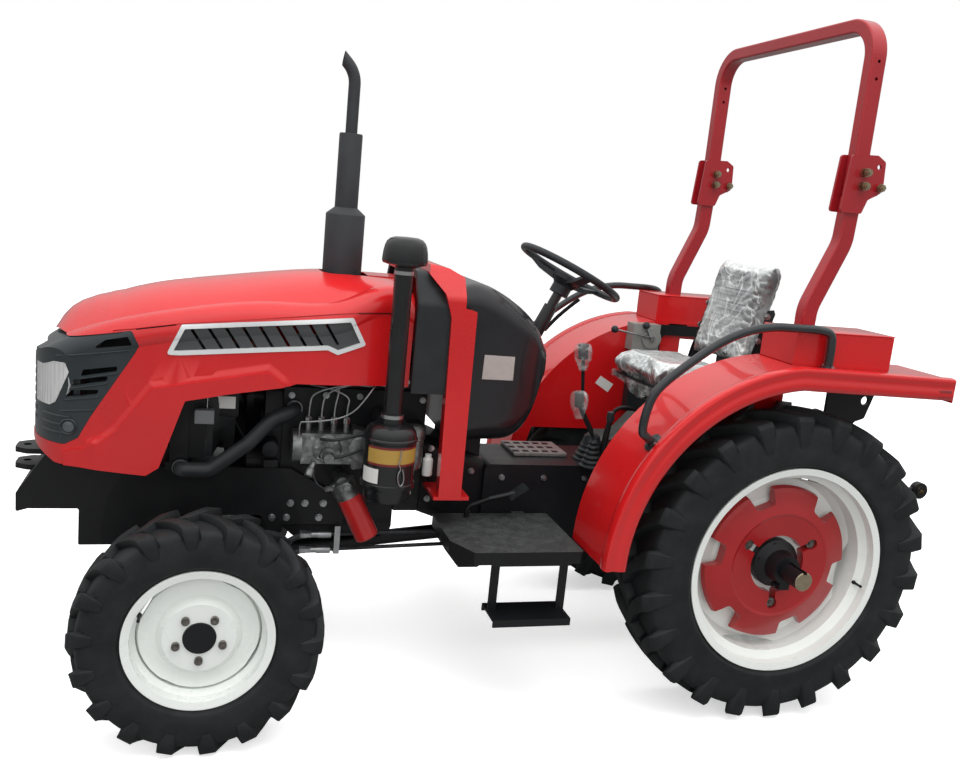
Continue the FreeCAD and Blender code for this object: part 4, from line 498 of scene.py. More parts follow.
for name, z in (("upper", 532), ("lower", 474)):
    piping(f"steering_hose_{name}", [(-350, 198, z), (-325, 198, z - 4), (-285, 200, z - 30),
                                     (-235, 190, z - 50), (-195, 170, z - 35)], 10.5, hose_rubber)
    turned_piece(f"hose_union_{name}", [(14.5, 0), (14.5, 22), (12.5, 26), (12.5, 40)], (-330, 198, z),
                 (-1, 0, 0), zinc_plate, 6)

# ---- Engine ----
# The fuel side of a four-cylinder diesel. The injection pump and filter heads are raw die castings,
# the block is black. Steel pipes rise from the pump to the head; a paper-element canister hangs
# behind, and the spin-on oil filter leans out under it in red.
cast_alloy = finish("raw_die_cast_aluminium", "A9ABAA", "5E5F5F", 0.34, metallic=1.0, patch_mm=28.0,
                    patch_share=0.85, grain_mm=(1.6, 0.22), rough_swing=0.22)
canister_paint = finish("semi_gloss_black_on_canister", "0F1012", "1C1D1F", 0.24, coat=0.35, patch_mm=200.0,
                        grain_mm=(8.0, 0.03), peel_mm=9.0)
muffler_paint = finish("heat_proof_matt_black", "2A2C2F", "3A3D41", 0.5, patch_mm=90.0,
                       grain_mm=(1.6, 0.08))
filter_red = finish("red_enamel_on_filter_can", "B01F20", "93181B", 0.26, coat=0.5, patch_mm=120.0,
                    grain_mm=(5.0, 0.02))
dress(cast_alloy, "engine_castings")
dress(filter_red, "oil_filter")
fan_plastic = finish("moulded_black_nylon", "17181A", "232527", 0.38,
                     grain_mm=(0.9, 0.04))
dress(fan_plastic, "cooling_fan")

# muffler and its pipes: a lathe-turned body, and a tail bent forward whose mouth is cut upright
up = (0, 0, 1)
stack_x, bend_mm = -440, 95
muffler = turned_piece("muffler", [(52, 0), (52, 14), (34, 14), (34, 182), (60, 200), (69, 206), (70, 212),
                                   (70, 446), (68.5, 449), (43, 470), (41, 472), (41, 724), (39, 729),
                                   (0, 730)], (stack_x, 0, 1218.3), up, muffler_paint, 64)
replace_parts(muffler, "exhaust_stack")
stations = [(at((stack_x, 0, 1946)), 0.0)]
for k in range(13):
    lean = radians(45) * k / 12
    stations.append((at((stack_x + bend_mm * (1 - cos(lean)), 0, 2115 + bend_mm * sin(lean))), lean))
stations.append(stations[-1])
mouth, mouth_faces = stations[-1][0] + Vector((0.0155, 0, 0.0155)), Vector((1, 0, 0.16))
points, sides = [], 40
for radius, walk, mouth_end in ((0.021, stations, 14), (0.018, stations[:6:-1], 0)):
    for k, (centre, lean) in enumerate(walk):
        run, out = Vector((sin(lean), 0, cos(lean))), Vector((-cos(lean), 0, sin(lean)))
        for i in range(sides):
            a = 2 * pi * i / sides
            point = centre + out * (radius * cos(a)) + Vector((0, radius * sin(a), 0))
            if k == mouth_end:
                point += run * ((mouth - point).dot(mouth_faces) / run.dot(mouth_faces))
            points.append(point)
faces = woven(len(points) // sides, sides)
faces += [tuple(reversed(range(sides))), tuple(range(len(points) - sides, len(points)))]
settle("exhaust_tail", mesh_of("exhaust_tail", points, faces), muffler_paint)

# injection pipes: union nut, riser, crook over to the head
pump_y, pump_top = 208.3, 962
for i in range(4):
    x, over = 44 * i - 466, -330 - 118 * i
    turned_piece(f"union_nut_{i}", [(12.5, 0), (12.5, 18), (9, 22)],
                 (x, pump_y, pump_top - 14), up, zinc_plate, 6)
    piping(f"injection_pipe_{i}", [(x, pump_y, pump_top), (x, pump_y, pump_top + 40),
                                   (x - 10, pump_y - 8, pump_top + 78 + 6 * i),
                                   (0.5 * (x + over), 192, pump_top + 108 + 7 * i),
                                   (over, 176, pump_top + 112), (over, 158, pump_top + 126),
                                   (over, 128, pump_top + 134)], 3.4, zinc_plate, 3)
    turned_piece(f"injector_nut_{i}", [(11, 0), (11, 24)], (over, 150, pump_top + 130),
                 (0, -1, 0), zinc_plate, 6)

# pump side: cover plates, the feed pump with its hand primer, screws, fuel lines, and the throttle cable
# and return wire of the control lever
for name, spot, radius, tall in (("pump_cover", (-398, 256, 866), 50, 7),
                                 ("governor_cover", (-515, 250, 866), 44, 9),
                                 ("feed_pump", (-400, 283.5, 846), 20, 30)):
    turned_piece(name, [(radius, 0), (radius, tall * 0.6), (radius * 0.86, tall)], spot, (0, 1, 0),
                 cast_alloy, 28)
turned_piece("hand_primer", [(12, 0), (12, 20), (17, 24), (17, 44), (14, 50)], (-355, 262, 815),
             (0.35, 0.45, -0.75), cast_alloy, 24)
ring = [radians(60 * i + 15) for i in range(6)]
cover_screws = [(39 * cos(a) - 398, 263.2, 866 + 39 * sin(a)) for a in ring]
cover_screws += [(x, 256.3, z) for x, z in ((-300, 905), (-345, 905), (-455, 905), (-480, 828), (-315, 828))]
bolts("pump_screws", [(spot, (0, 1, 0)) for spot in cover_screws], 10, 6)
for name, z, run in (("feed_line", 842, 100), ("return_line", 905, 140)):
    piping(name, [(-372, 270, z), (-395, 300, z + 2), (-455, 306, z + 12), (-455 - run, 290, z + 55),
                  (-600, 235, z + 75), (-672, 215, z + 60)], 5.2, hose_rubber, 4)
piping("throttle_cable", [(-300, 288, 968), (-379, 292, 973), (-470, 292, 998), (-520, 286, 1062),
                          (-560, 262, 1120), (-640, 200, 1150)], 3.2, zinc_plate, 3)
piping("lever_return_wire", [(-300, 288, 968), (-292, 288, 940), (-300, 280, 912)], 2.5, zinc_plate, 3)

# ribbed sender body ahead of the pump, and small grey boxes on the block
turned_piece("sender_body", [(0, 0)] + [(30 - 3 * (j % 2), 6 * j) for j in range(12)] + [(0, 70)],
             (-209, 160.3, 852), (0, 1, 0), casting_paint, 28)


def slab_piece(name, near, far, material, round_mm=2.0, body="chassis"):
    """A box with rounded edges between two opposite corners."""
    low, high = [at([pick(pair) for pair in zip(near, far)]) for pick in (min, max)]
    corners = [(x, y, z) for x in (low.x, high.x) for y in (low.y, high.y) for z in (low.z, high.z)]
    walls = [(0, 1, 3, 2), (4, 6, 7, 5), (0, 4, 5, 1), (2, 3, 7, 6), (0, 2, 6, 4), (1, 5, 7, 3)]
    return settle(name, rounded_edges(mesh_of(name, corners, walls), round_mm / 1000, 3), material, body)


grey_case = finish("grey_moulded_plastic", "6E7072", "5A5C5E", 0.45,
                   grain_mm=(1.0, 0.05))
white_plastic = finish("natural_polyethylene", "E4E5E2", "CBCCC8", 0.38, patch_mm=60.0)
slab_piece("relay_box", (-18, 225.3, 943), (46, 262, 991), grey_case, 4.0)
slab_piece("relay_foot", (-10, 190, 950), (30, 225.3, 962), plate_paint)
slab_piece("side_shield", (-243, 160.3, 668), (-190, 176, 800), casting_paint, 5.0)

# fuel filter behind the canister, with its water bowl, and a small expansion bottle
turned_piece("fuel_filter", [(20, 0), (30, 10), (34, 30), (34, 110), (38, 114), (38, 122), (40, 126),
                             (40, 150), (24, 162)], (-702, 262, 800), up, cast_alloy)
slab_piece("fuel_filter_bracket", (-740, 165, 935), (-672, 262, 958), plate_paint)
turned_piece("expansion_bottle", [(17, 0), (19, 4), (19, 60), (12, 68), (12, 78)], (-764, 240, 772), up,
             white_plastic, 24)
slab_piece("bottle_clip", (-776, 175, 812), (-752, 224, 826), plate_paint)

# air cleaner: pressed canister over its dust cup, and the intake pipe with its mushroom cap
can_x, can_y, can_radius = -588, 404, 88
dust_cup = [(66, 0), (76.5, 3.5), (80, 11), (80, 46), (90, 48), (92, 52), (92, 66), (90, 68)]
canister = [(can_radius, 69), (can_radius, 206), (90.5, 208), (92, 211), (92, 217), (90.5, 220),
            (can_radius, 222), (87, 232), (83, 243), (76, 253), (66, 260), (50, 264)]
cleaner = turned_piece("air_canister", dust_cup + canister, (can_x, can_y, 738), up, canister_paint, 72)
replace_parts(cleaner, "air_cleaner")
turned_piece("intake_pipe", [(37, 0), (37, 37), (31, 39), (31, 524)], (can_x, can_y, 1001),
             up, canister_paint, 48)
cap = [(34, 0), (60, 10), (71.5, 13), (74.5, 19), (74.5, 28), (72.5, 50), (68.5, 70), (63, 83), (53, 93),
       (38, 98), (0, 100)]
turned_piece("intake_cap", cap, (can_x, can_y, 1522), up, canister_paint, 72)
turned_piece("clean_air_outlet", [(32, 0), (32, 190)], (can_x, can_y - 40, 975),
             (0, -1, 0), canister_paint, 40)
slab_piece("canister_strap", (can_x - 30, 160.3, 860), (can_x + 30, can_y - 80, 900), plate_paint, 3.0)

# blank stickers wrapped on the canister, and the wire clip that holds its dust cup
label_ochre = finish("printed_vinyl_ochre", "A8863C", "8E6F3A", 0.35, coat=0.3, grain_mm=(4.0, 0.01))
label_edge = finish("printed_vinyl_dark_red", "6E1D1C", "5B1A1A", 0.35, coat=0.3, grain_mm=(4.0, 0.01))
label_white = finish("printed_vinyl_white", "D8D7D3", "BDBCB8", 0.35, coat=0.2, grain_mm=(4.0, 0.01))


def wrapped_label(name, from_deg, to_deg, low, high, face_material, edge_material, edge_cells):
    """A sticker on the canister; its angles are measured from the left towards the front."""
    across, tall = 28, 8
    points = []
    for skin in (can_radius + 0.2, can_radius + 0.7):
        for j in range(tall + 1):
            for i in range(across + 1):
                a = radians(from_deg + (to_deg - from_deg) * i / across)
                z = low + (high - low) * j / tall
                points.append(at((can_x + skin * sin(a), can_y + skin * cos(a), z)))
    row, layer = across + 1, (across + 1) * (tall + 1)
    faces = woven(tall + 1, row, around=False)
    edged = [False] * len(faces)
    edged += [not edge_cells <= k // across < tall - edge_cells for k in range(len(faces))]
    faces += [(layer + a, layer + d, layer + c, layer + b) for a, b, c, d in faces]
    rim = [j * row for j in range(tall + 1)] + [tall * row + i for i in range(1, across + 1)]
    rim += [j * row + across for j in range(tall - 1, -1, -1)] + list(range(across - 1, 0, -1))
    faces += [(a, b, layer + b, layer + a) for a, b in zip(rim, rim[1:] + rim[:1])]
    mesh = mesh_of(name, points, faces)
    mesh.materials.append(face_material)
    mesh.materials.append(edge_material)
    for face, is_edge in zip(mesh.polygons, edged + [True] * len(rim)):
        face.material_index = int(is_edge)
    settle(name, mesh, None)


wrapped_label("canister_band", -68.0, 62.0, 874, 938, label_ochre, label_edge, 1)
wrapped_label("canister_sticker", 32.0, 78.0, 812, 862, label_white, label_white, 0)
clip = [(-13, 935), (-13, 900), (-9, 886), (-16, 868), (-9, 852), (-11, 822), (-17, 808), (-24, 820),
        (-23, 852), (-18, 868)]
clip_route = [(can_x + 95 * sin(radians(a)), can_y + 95 * cos(radians(a)), z) for a, z in clip]
piping("dust_cup_clip", clip_route, 2.2, zinc_plate, 3)

# band clamps on the hoses, the rings of the filter and of the air pipe
for name, spot, way, radius in (("lower_hose_front", (84, 230, 786), (0, 1, 0), 27.2),
                                ("lower_hose_rear", (-285, 186, 990), (0, -1, 0), 27.2),
                                ("upper_hose_front", (30, 96, 1225), (-1, 0, 0), 22.2),
                                ("air_pipe_low", (can_x, can_y, 1022), up, 38.8),
                                ("air_pipe_high", (can_x, can_y, 1500), up, 32.5)):
    turned_piece(f"{name}_clamp", [(radius, 0), (radius, 12)], spot, way, zinc_plate, 36)
filter_foot = at((-470, 300, 724))
lean = (at((-552, 318, 566)) - filter_foot).normalized()
turned_piece("filter_seat", [(43.5, 0), (43.5, 12), (42.8, 16)],
             filter_foot + lean * 0.0006, lean, cast_alloy, 40)
turned_piece("pressure_switch", [(14, 0), (14, 10), (10, 12), (10, 40)], (-428, 310, 742),
             (0.75, 0.45, 0.05), zinc_plate, 6)
turned_piece("relief_plug", [(17, 0), (17, 12), (11, 14), (11, 26)], (-464, 335, 756),
             (0.1, 1.0, 0.1), cast_alloy, 6)
piping("switch_wire", [(-398, 328, 744), (-372, 330, 750), (-350, 300, 780), (-352, 262, 812)], 2.6,
       hose_rubber, 3)
# head and block fasteners
head_spots = [(-276, 1031), (-395, 1035), (-515, 1035), (-635, 1035), (-271, 977), (-745, 1030)]
bolts("head_bolts", side_seats("engine_block", head_spots, 300), 17, 10)
housing_spots = [(-790, 850), (-790, 760), (-790, 660), (-960, 760), (-960, 600), (-1080, 740),
                 (-1080, 520), (-1250, 740), (-1250, 500), (-1420, 740), (-1420, 500)]
bolts("housing_bolts", side_seats("gearbox", housing_spots, 300), 17, 10)

# moulded fan shroud: square at the radiator, drawn in to a ring round the fan
points, sides = [], 64
stations = [(5, True, 0), (-16, True, 0), (-45, False, 0), (-89, False, 0)]
stations += [(x, square, 3) for x, square, inset in reversed(stations)]
for x, square, inset in stations:
    for i in range(sides):
        a = 2 * pi * (i + 0.5) / sides
        box_reach = min(200 / max(abs(cos(a)), 0.01), 176 / max(abs(sin(a)), 0.01))
        reach = (box_reach if square else 192) - inset
        points.append(at((x, reach * cos(a), 990 + reach * sin(a))))
settle("fan_shroud", mesh_of("fan_shroud", points, woven(len(stations), sides, closed=True)), fan_plastic)

# its ear carries a blank white sticker; a screen closes the belt side of the fan
slab_piece("shroud_ear", (-98, 186, 955), (4, 194, 1052), plate_paint)
slab_piece("shroud_sticker", (-86, 194, 984), (-22, 195.2, 1026), label_white, 0.4)
slab_piece("belt_screen", (-235, -196, 770), (-95, -190, 1030), plate_paint)

# ---- Hood and nose ----
# One-piece pressed steel hood, baked red enamel polished like a car's. The nose mask is moulded dark
# grey plastic; the side vents are plastic panels slotted for air, each in a bright plated frame. The
# plating's near-white colour is partly painted reflection.
mask_plastic = finish("moulded_dark_grey_plastic", "232A2D", "343B3F", 0.3, coat=0.2, patch_mm=120.0,
                      grain_mm=(0.9, 0.04))
vent_plastic = finish("moulded_graphite_plastic", "434546", "383A3B", 0.45,
                      patch_mm=200.0, grain_mm=(0.8, 0.05))
# painted reflection: the plating is only partly metal, and its near-white colour stands in for part of
# chrome's bright reflection
plating_painted_reflection = finish("chrome_plated_plastic_painted_reflection", "F4F6F6", "E2E5E6", 0.12, metallic=0.45,
                        grain_mm=(3.0, 0.01), patch_mm=80.0, rough_swing=0.06)
smoked_lens = finish("smoked_lamp_lens", "565D60", "3E4447", 0.08, metallic=0.4, coat=1.0, patch_mm=12.0)
dress(mask_plastic, "nose_grille")
dress(vent_plastic, "side_vents")


def reshaped(node_name, cell_mm, near, push, material, body):
    """A CAD node's skin drawn over again: finer where near() says so, and moved by push()."""
    work = bmesh.new()
    work.from_mesh(node[node_name].data)
    for _ in range(4):
        long_edges = [edge for edge in work.edges if edge.calc_length() > cell_mm / 1000
                      and near((edge.verts[0].co + edge.verts[1].co) / 2)]
        bmesh.ops.subdivide_edges(work, edges=long_edges, cuts=1)
        bmesh.ops.triangulate(work, faces=[face for face in work.faces if len(face.verts) > 3])
    for vertex in work.verts:
        vertex.co += push(vertex.co)
    mesh = bpy.data.meshes.new(f"{node_name}_skin")
    work.to_mesh(mesh)
    work.free()
    if "custom_normal" in mesh.attributes:
        mesh.attributes.remove(mesh.attributes["custom_normal"])
    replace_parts(settle(f"{node_name}_skin", mesh, material, body, sharp_deg=24.0), node_name)


# the roof's nose is fuller than one straight draw: it rises steeply from its lip, then runs back flat
nose_rise = [(0.215, 0.0), (0.290, 0.003), (0.339, 0.014), (0.388, 0.029), (0.430, 0.041), (0.455, 0.043),
             (0.478, 0.036), (0.495, 0.020), (0.508, 0.004), (0.520, 0.0)]
roof_lip_z, roof_half_y = 1.17, 0.235


def fuller_nose(point):
    ahead = point.x - front_axle_x
    if not nose_rise[0][0] < ahead < nose_rise[-1][0] or point.z < roof_lip_z:
        return Vector((0, 0, 0))
    for (x0, rise0), (x1, rise1) in zip(nose_rise, nose_rise[1:]):
        if x0 <= ahead <= x1:
            share = (ahead - x0) / (x1 - x0)
            share = share * share * (3 - 2 * share) * 0.35 + share * 0.65
            rise = rise0 + (rise1 - rise0) * share
    across = min(1.0, abs(point.y) / roof_half_y)
    return Vector((0, 0, rise * cos(across * pi / 2) ** 1.3))


def within(share):
    return max(0.0, min(1.0, share))


# the pressed band round the wheel opening: its upper edge is a broad bevel that catches the light
band_edge = [Vector(spot) for spot in ((0.452, 0.874), (0.396, 0.890), (0.344, 0.897), (0.300, 0.936),
                                       (0.190, 1.092), (-0.186, 1.168), (-0.262, 1.110))]
hood_side_y, hood_side_top_z = 0.2, 1.2
band_depth, bevel_wide = 0.0085, 0.024


def beside(flat, a, b):
    """The way to a point in side view from the nearest spot on the line from a to b."""
    return flat - a.lerp(b, within((flat - a).dot(b - a) / (b - a).length_squared))


def into_band(point):
    """How far a point lies inside the band's upper edge in side view, in metres; negative above it."""
    flat, best, inside = Vector((point.x - front_axle_x, point.z)), 9.0, 1.0
    for a, b in zip(band_edge, band_edge[1:]):
        away = beside(flat, a, b)
        if away.length < best:
            best, inside = away.length, (b - a).x * away.y - (b - a).y * away.x
    return best if inside > 0 else -best


def pressed_out(point):
    if abs(point.y) < hood_side_y or point.z > hood_side_top_z:
        return fuller_nose(point)
    share = within((into_band(point) + 0.002) / bevel_wide)
    ahead = point.x - front_axle_x
    fade = within((0.390 - ahead) / 0.04) * within((ahead + 0.262) / 0.03)
    return Vector((0, copysign(band_depth * fade * share * share * (3 - 2 * share), point.y), 0))


def needs_detail(spot):
    nose = 0.20 < spot.x - front_axle_x < 0.53 and spot.z > roof_lip_z and abs(spot.y) < roof_half_y + 0.01
    side = abs(spot.y) > hood_side_y and spot.z < hood_side_top_z
    return nose or side and abs(into_band(spot) - 0.01) < 0.03


reshaped("hood", 6.0, needs_detail, pressed_out, red_enamel, "hood")
vent_corners = [(0.140, 1.180), (0.095, 1.281), (-0.448, 1.338), (-0.499, 1.245), (-0.404, 1.209),
                (-0.369, 1.224), (0.100, 1.180)]
vent_outline = [Vector((front_axle_x + x, z)) for x, z in vent_corners]


def off_edge(point):
    """Distance in side view from a point to the vent's outline."""
    flat = Vector((point.x, point.z))
    return min(beside(flat, a, b).length for a, b in zip(vent_outline, vent_outline[1:] + vent_outline[:1]))


vent_frame_wide = 0.0152
# the vent frames take the plating, whose near-white colour is partly painted reflection
paint_part("side_vents", plating_painted_reflection, lambda centre, normal: off_edge(centre) < vent_frame_wide)


def hugging(name, start_points, way, lift):
    """Points on a CAD node met along way from the start points, lifted off its skin."""
    return [point + normal * lift for point, normal in [seat_on(name, start, way) for start in start_points]]


def traced(name, line, steps, side, lift):
    """Points on a node's side under a straight line, seen square on, from (x0, z0) to (x1, z1)."""
    x0, z0, x1, z1 = line
    starts = [(x0 + (x1 - x0) * k / steps, side * 900, z0 + (z1 - z0) * k / steps) for k in range(steps + 1)]
    return hugging(name, starts, (0, -side, 0), lift)


for tag, side in both_sides:
    # raised lips under the mask's side louvres and along its brow
    for i, line in enumerate(((398, 1084, 284, 1109), (424, 1050, 314, 1074), (441, 1012, 336, 1029),
                              (455, 975, 350, 986), (470, 1150, 250, 1186))):
        spots = traced("nose_grille", line, 6, side, 0.0005)
        piping(f"mask_lip_{i}_{tag}", spots, 3.2, mask_plastic, 3, "hood")
    # slats round the corner under the lamp
    for i, z in enumerate((903, 930, 957)):
        spots = []
        for k in range(7):
            a = radians(20 + 5 * k)
            start = (300 + 1000 * cos(a), side * (120 + 1000 * sin(a)), z)
            spots += hugging("nose_grille", [start], (-cos(a), -side * sin(a), 0), 0.001)
        piping(f"corner_slat_{i}_{tag}", spots, 3.6, mask_plastic, 3, "hood")
    # round fog lamp in a plain bezel
    spot, out = seat_on("nose_grille", (1024, side * 762, 925), (-0.6, -side * 0.5, 0))
    out.z = 0
    turned_piece(f"fog_bezel_{tag}", [(27, -6), (27, 3), (24, 6), (20, 2)], spot, out,
                 mask_plastic, 40, "hood")
    turned_piece(f"fog_lens_{tag}", [(18.5, 2.2), (17, 5), (9, 7.2), (0, 7.8)], spot, out,
                 smoked_lens, 36, "hood")

# headlamps: clear moulded lens over a bright faceted bowl with its bulb; the bowl and the housing take
# the plating, whose near-white colour is partly painted reflection
lamp_lens, tree = new_material("clear_polycarbonate")
place = add(tree, "ShaderNodeTexCoord").outputs["Object"]
flutes = add(tree, "ShaderNodeTexWave", {"Vector": place, "Scale": 26.0, "Distortion": 0.0},
             wave_type="BANDS", bands_direction="Y")
relief = add(tree, "ShaderNodeBump", {"Height": flutes.outputs["Fac"], "Distance": 0.0012})
glass = add(tree, "ShaderNodeBsdfPrincipled", {"Base Color": colour("FFFFFF"), "Roughness": 0.04,
                                               "IOR": 1.58, "Transmission Weight": 0.56,
                                               "Coat Weight": 1.0, "Normal": relief})
add(tree, "ShaderNodeOutputMaterial", {"Surface": glass})
dress(lamp_lens, "headlights")
# housing behind the bowl, the dark shell round it, and the gasket behind the mask's lower edge
lamp_slabs = [("lamp_housing", 405, 412, 150, 238, 1000, 1115, plating_painted_reflection),
              ("lamp_shell_wall", 397, 418, 240, 246, 990, 1120, mask_plastic),
              ("mask_gasket", 325, 400, 254, 259, 875, 975, mask_plastic),
              ("lamp_shell", 397, 404.5, 145, 252, 990, 1120, mask_plastic)]
for tag, side in both_sides:
    aim, centre = (0.80, side * 0.60, 0.04), (452, side * 232, 1060)
    turned_piece(f"lamp_bowl_{tag}", [(14, -30), (30, -20), (46, 0), (49, 6), (46, 6), (30, -14),
                                      (13, -24)], centre, aim, plating_painted_reflection, 12, "hood")
    turned_piece(f"lamp_bulb_{tag}", [(7, -26), (9, -10), (5, 0), (0, 2)], centre, aim, white_plastic,
                 20, "hood")
    for name, x0, x1, y0, y1, z0, z1, material in lamp_slabs:
        slab_piece(f"{name}_{tag}", (x0, side * y0, z0), (x1, side * y1, z1), material, body="hood")
slab_piece("nose_lining", (215, -3, 1020), (395, 3, 1205), mask_plastic, body="hood")
slab_piece("nose_screen", (190, -236, 872), (196, 236, 1165), mask_plastic, body="hood")

# the roof panel's lower edge shows as a dark line behind and ahead of the vent: painted shade, a thin
# dark tube laid along its seam
painted_gap_shade = finish("painted_shade_in_gaps", "2A0A0C", "1A0708", 0.6, shine=0.2)
for tag, side in both_sides:
    for i, line in enumerate(((232, 1254.5, 112, 1277.5), (-462, 1351, -640, 1360))):
        piping(f"roof_seam_{i}_{tag}", traced("hood", line, 8, side, -0.0006), 1.9, painted_gap_shade, 2, "hood")

# ---- Arch, cowl and steering wheel ----
# A red pressed-steel arch on two feet carries the hood's rear edge on a rubber strip. Behind it stands
# the moulded cowl with a blank data plate, and the soft-rimmed wheel on its sloping column.
cowl_plastic = finish("moulded_gloss_black_plastic", "17171A", "232326", 0.24, coat=0.35, patch_mm=260.0,
                      grain_mm=(1.4, 0.03), peel_mm=11.0)
wheel_foam = finish("self_skinned_foam", "1B1E21", "2B2F33", 0.36, patch_mm=80.0, grain_mm=(0.9, 0.05))
plate_alloy = finish("brushed_aluminium_plate", "BBB4B0", "A7A19D", 0.4, metallic=0.35, patch_mm=40.0,
                     grain_mm=(0.8, 0.02))
dress(red_enamel, "rear_arch")
dress(hose_rubber, "arch_seal")
dress(cowl_plastic, "cowl")
dress(wheel_foam, "steering_wheel")


def flat_plate(name, inner, thick_mm, side, material, round_mm=0.0, segments=1):
    """A flat plate of the given thickness, outwards from its inner outline on one side of the tractor."""
    count = len(inner)
    outer = [point + Vector((0, thick_mm / 1000, 0)) for point in inner]
    faces = [tuple(range(count)), tuple(reversed(range(count, 2 * count)))]
    faces += [(i, i + count, (i + 1) % count + count, (i + 1) % count) for i in range(count)]
    mesh = mesh_of(name, inner + outer, faces)
    if side < 0:
        mesh.flip_normals()
    if round_mm:
        mesh = rounded_edges(mesh, round_mm / 1000, segments)
    settle(name, mesh, material)


plate_corners = [(-928, 1200, 1228), (-1044, 1200, 1225), (-1045, 1200, 1138), (-926, 1200, 1140)]
flat_plate("data_plate", hugging("cowl", plate_corners, (0, -1, 0), 0.0002), 1.2, 1, plate_alloy, 0.36)
foot_seats = [((x, side * 170, 708), (0, side, 0)) for x in (-814, -870) for side in (1, -1)]
bolts("arch_foot_bolts", foot_seats, 16, 10)
piping("column_stay", [(-1264, -60, 1284), (-1300, -58, 1330), (-1345, -45, 1380), (-1384, -30, 1420)], 7.5,
       plate_paint)

# ---- Platform, levers and pedals ----
# Floor plates under studded rubber, a hanging step, gear levers through bellows boots with their new
# knobs still in film, and the lift quadrant by the right-hand mudguard.
floor_rubber = finish("studded_rubber_mat", "2B2D2D", "444646", 0.62, patch_mm=35.0, patch_share=0.7,
                      grain_mm=(5.5, 1.4), rough_swing=0.15)
dress(plate_paint, "floor", "pedals")
mat_z, pedal_pad_z = 0.60, 0.690
paint_part("floor", floor_rubber, lambda centre, normal: normal.z > 0.9 and centre.z > mat_z)
paint_part("pedals", hose_rubber, lambda centre, normal: centre.z > pedal_pad_z)
dress(hose_rubber, "control_levers")
quadrant_paint = finish("grey_enamel_on_quadrant", "83837F", "6F6F6C", 0.35, coat=0.2, grain_mm=(3.0, 0.03))
# the quadrant stands by the right-hand mudguard; the gear levers rise painted out of their boots
quadrant_y, quadrant_z = -0.345, 1.195
lever_y, boot_top_z = -0.2, 0.905
paint_part("control_levers", quadrant_paint, lambda centre, normal: centre.y < quadrant_y and
           centre.z > quadrant_z)
paint_part("control_levers", plate_paint, lambda centre, normal: centre.z > boot_top_z and centre.y > lever_y)
film, tree = new_material("clear_polythene_film")
place = add(tree, "ShaderNodeTexCoord").outputs["Object"]
creases = add(tree, "ShaderNodeTexNoise", {"Vector": place, "Scale": 1000 / 60,
                                           "Detail": 3.0, "Distortion": 0.8})
fine = add(tree, "ShaderNodeTexVoronoi", {"Vector": place, "Scale": 1000 / 16}, feature="DISTANCE_TO_EDGE")
relief = add(tree, "ShaderNodeBump", {"Height": fine.outputs["Distance"], "Distance": 0.004, "Strength": 0.8})
relief = add(tree, "ShaderNodeBump", {"Height": creases, "Distance": 0.010, "Normal": relief})
bloom = add(tree, "ShaderNodeMapRange", {"Value": creases, "From Min": 0.46, "From Max": 0.70,
                                         "To Min": 0.10, "To Max": 0.55})
sheen = add(tree, "ShaderNodeBsdfPrincipled", {"Base Color": colour("E9EEEE"), "Roughness": 0.12,
                                               "Coat Weight": 1.0, "Normal": relief})
clear = add(tree, "ShaderNodeBsdfTransparent", {"Color": colour("F2F4F4")})
blend = add(tree, "ShaderNodeMixShader", {0: bloom, 1: clear, 2: sheen})
add(tree, "ShaderNodeOutputMaterial", {"Surface": blend})


def crumpled(points, crease_mm, size_mm, seed):
    """Moves points along a folded noise so that a skin looks like creased film."""
    rng = np.random.default_rng(seed)
    spots = np.array([tuple(p) for p in points])
    push = np.zeros(len(spots))
    for octave in range(7):
        way = rng.normal(size=3)
        way *= 2 * pi * (1000 / size_mm) * (0.6 + 0.35 * octave) / np.linalg.norm(way)
        bend = np.sin(spots @ rng.normal(size=(3, 1)) * 40 + rng.uniform(0, 6)).ravel()
        push += np.abs(np.sin(spots @ way + rng.uniform(0, 6) + 1.2 * bend)) / (1 + 0.5 * octave)
    return push / push.max() * crease_mm / 1000


def film_bag(name, profile, start, way, crease_mm, size_mm, seed):
    """A loose bag of film round a knob."""
    start, way = at(start), Vector(way).normalized()
    swing = Vector((0, 1, 0)).rotation_difference(way)
    points, faces = spun([(r / 1000, y / 1000) for r, y in soften(profile)], 40, (0, 0, 0), closed=False)
    moved = []
    for point, extra in zip(points, crumpled(points, crease_mm, size_mm, seed)):
        flat = Vector((point.x, 0, point.z))
        outward = flat.normalized() * float(extra) if flat.length > 0.002 else flat
        moved.append(start + swing @ (point + outward))
    settle(name, mesh_of(name, moved, [f[::-1] for f in faces]), film, sharp_deg=80.0)


bag = [(4, -50), (14, -46), (20, -20), (30, 0), (33, 30), (28, 54), (12, 62), (1, 63)]
for name, x, y, top, wide, seed in (("main", -1478, 44, 1200, 58, 3), ("range", -1440, 150, 1030, 36, 8)):
    film_bag(f"{name}_knob_film", bag, (x + 78, y, top - 4), (0.1, 0, 1), 5.0, 26.0, seed)
    rings = [(wide + 12, 0), (wide + 12, 6)]
    for k in range(5):
        low, r = 10 + 19 * k, wide * (1.0 - 0.155 * k) + 4
        rings += [(r - 6, low), (r, low + 6), (r, low + 11), (r - 7, low + 17)]
    turned_piece(f"{name}_boot", soften(rings + [(12, 106), (0, 106)], 1), (x, y, 790.5), up, hose_rubber, 40)

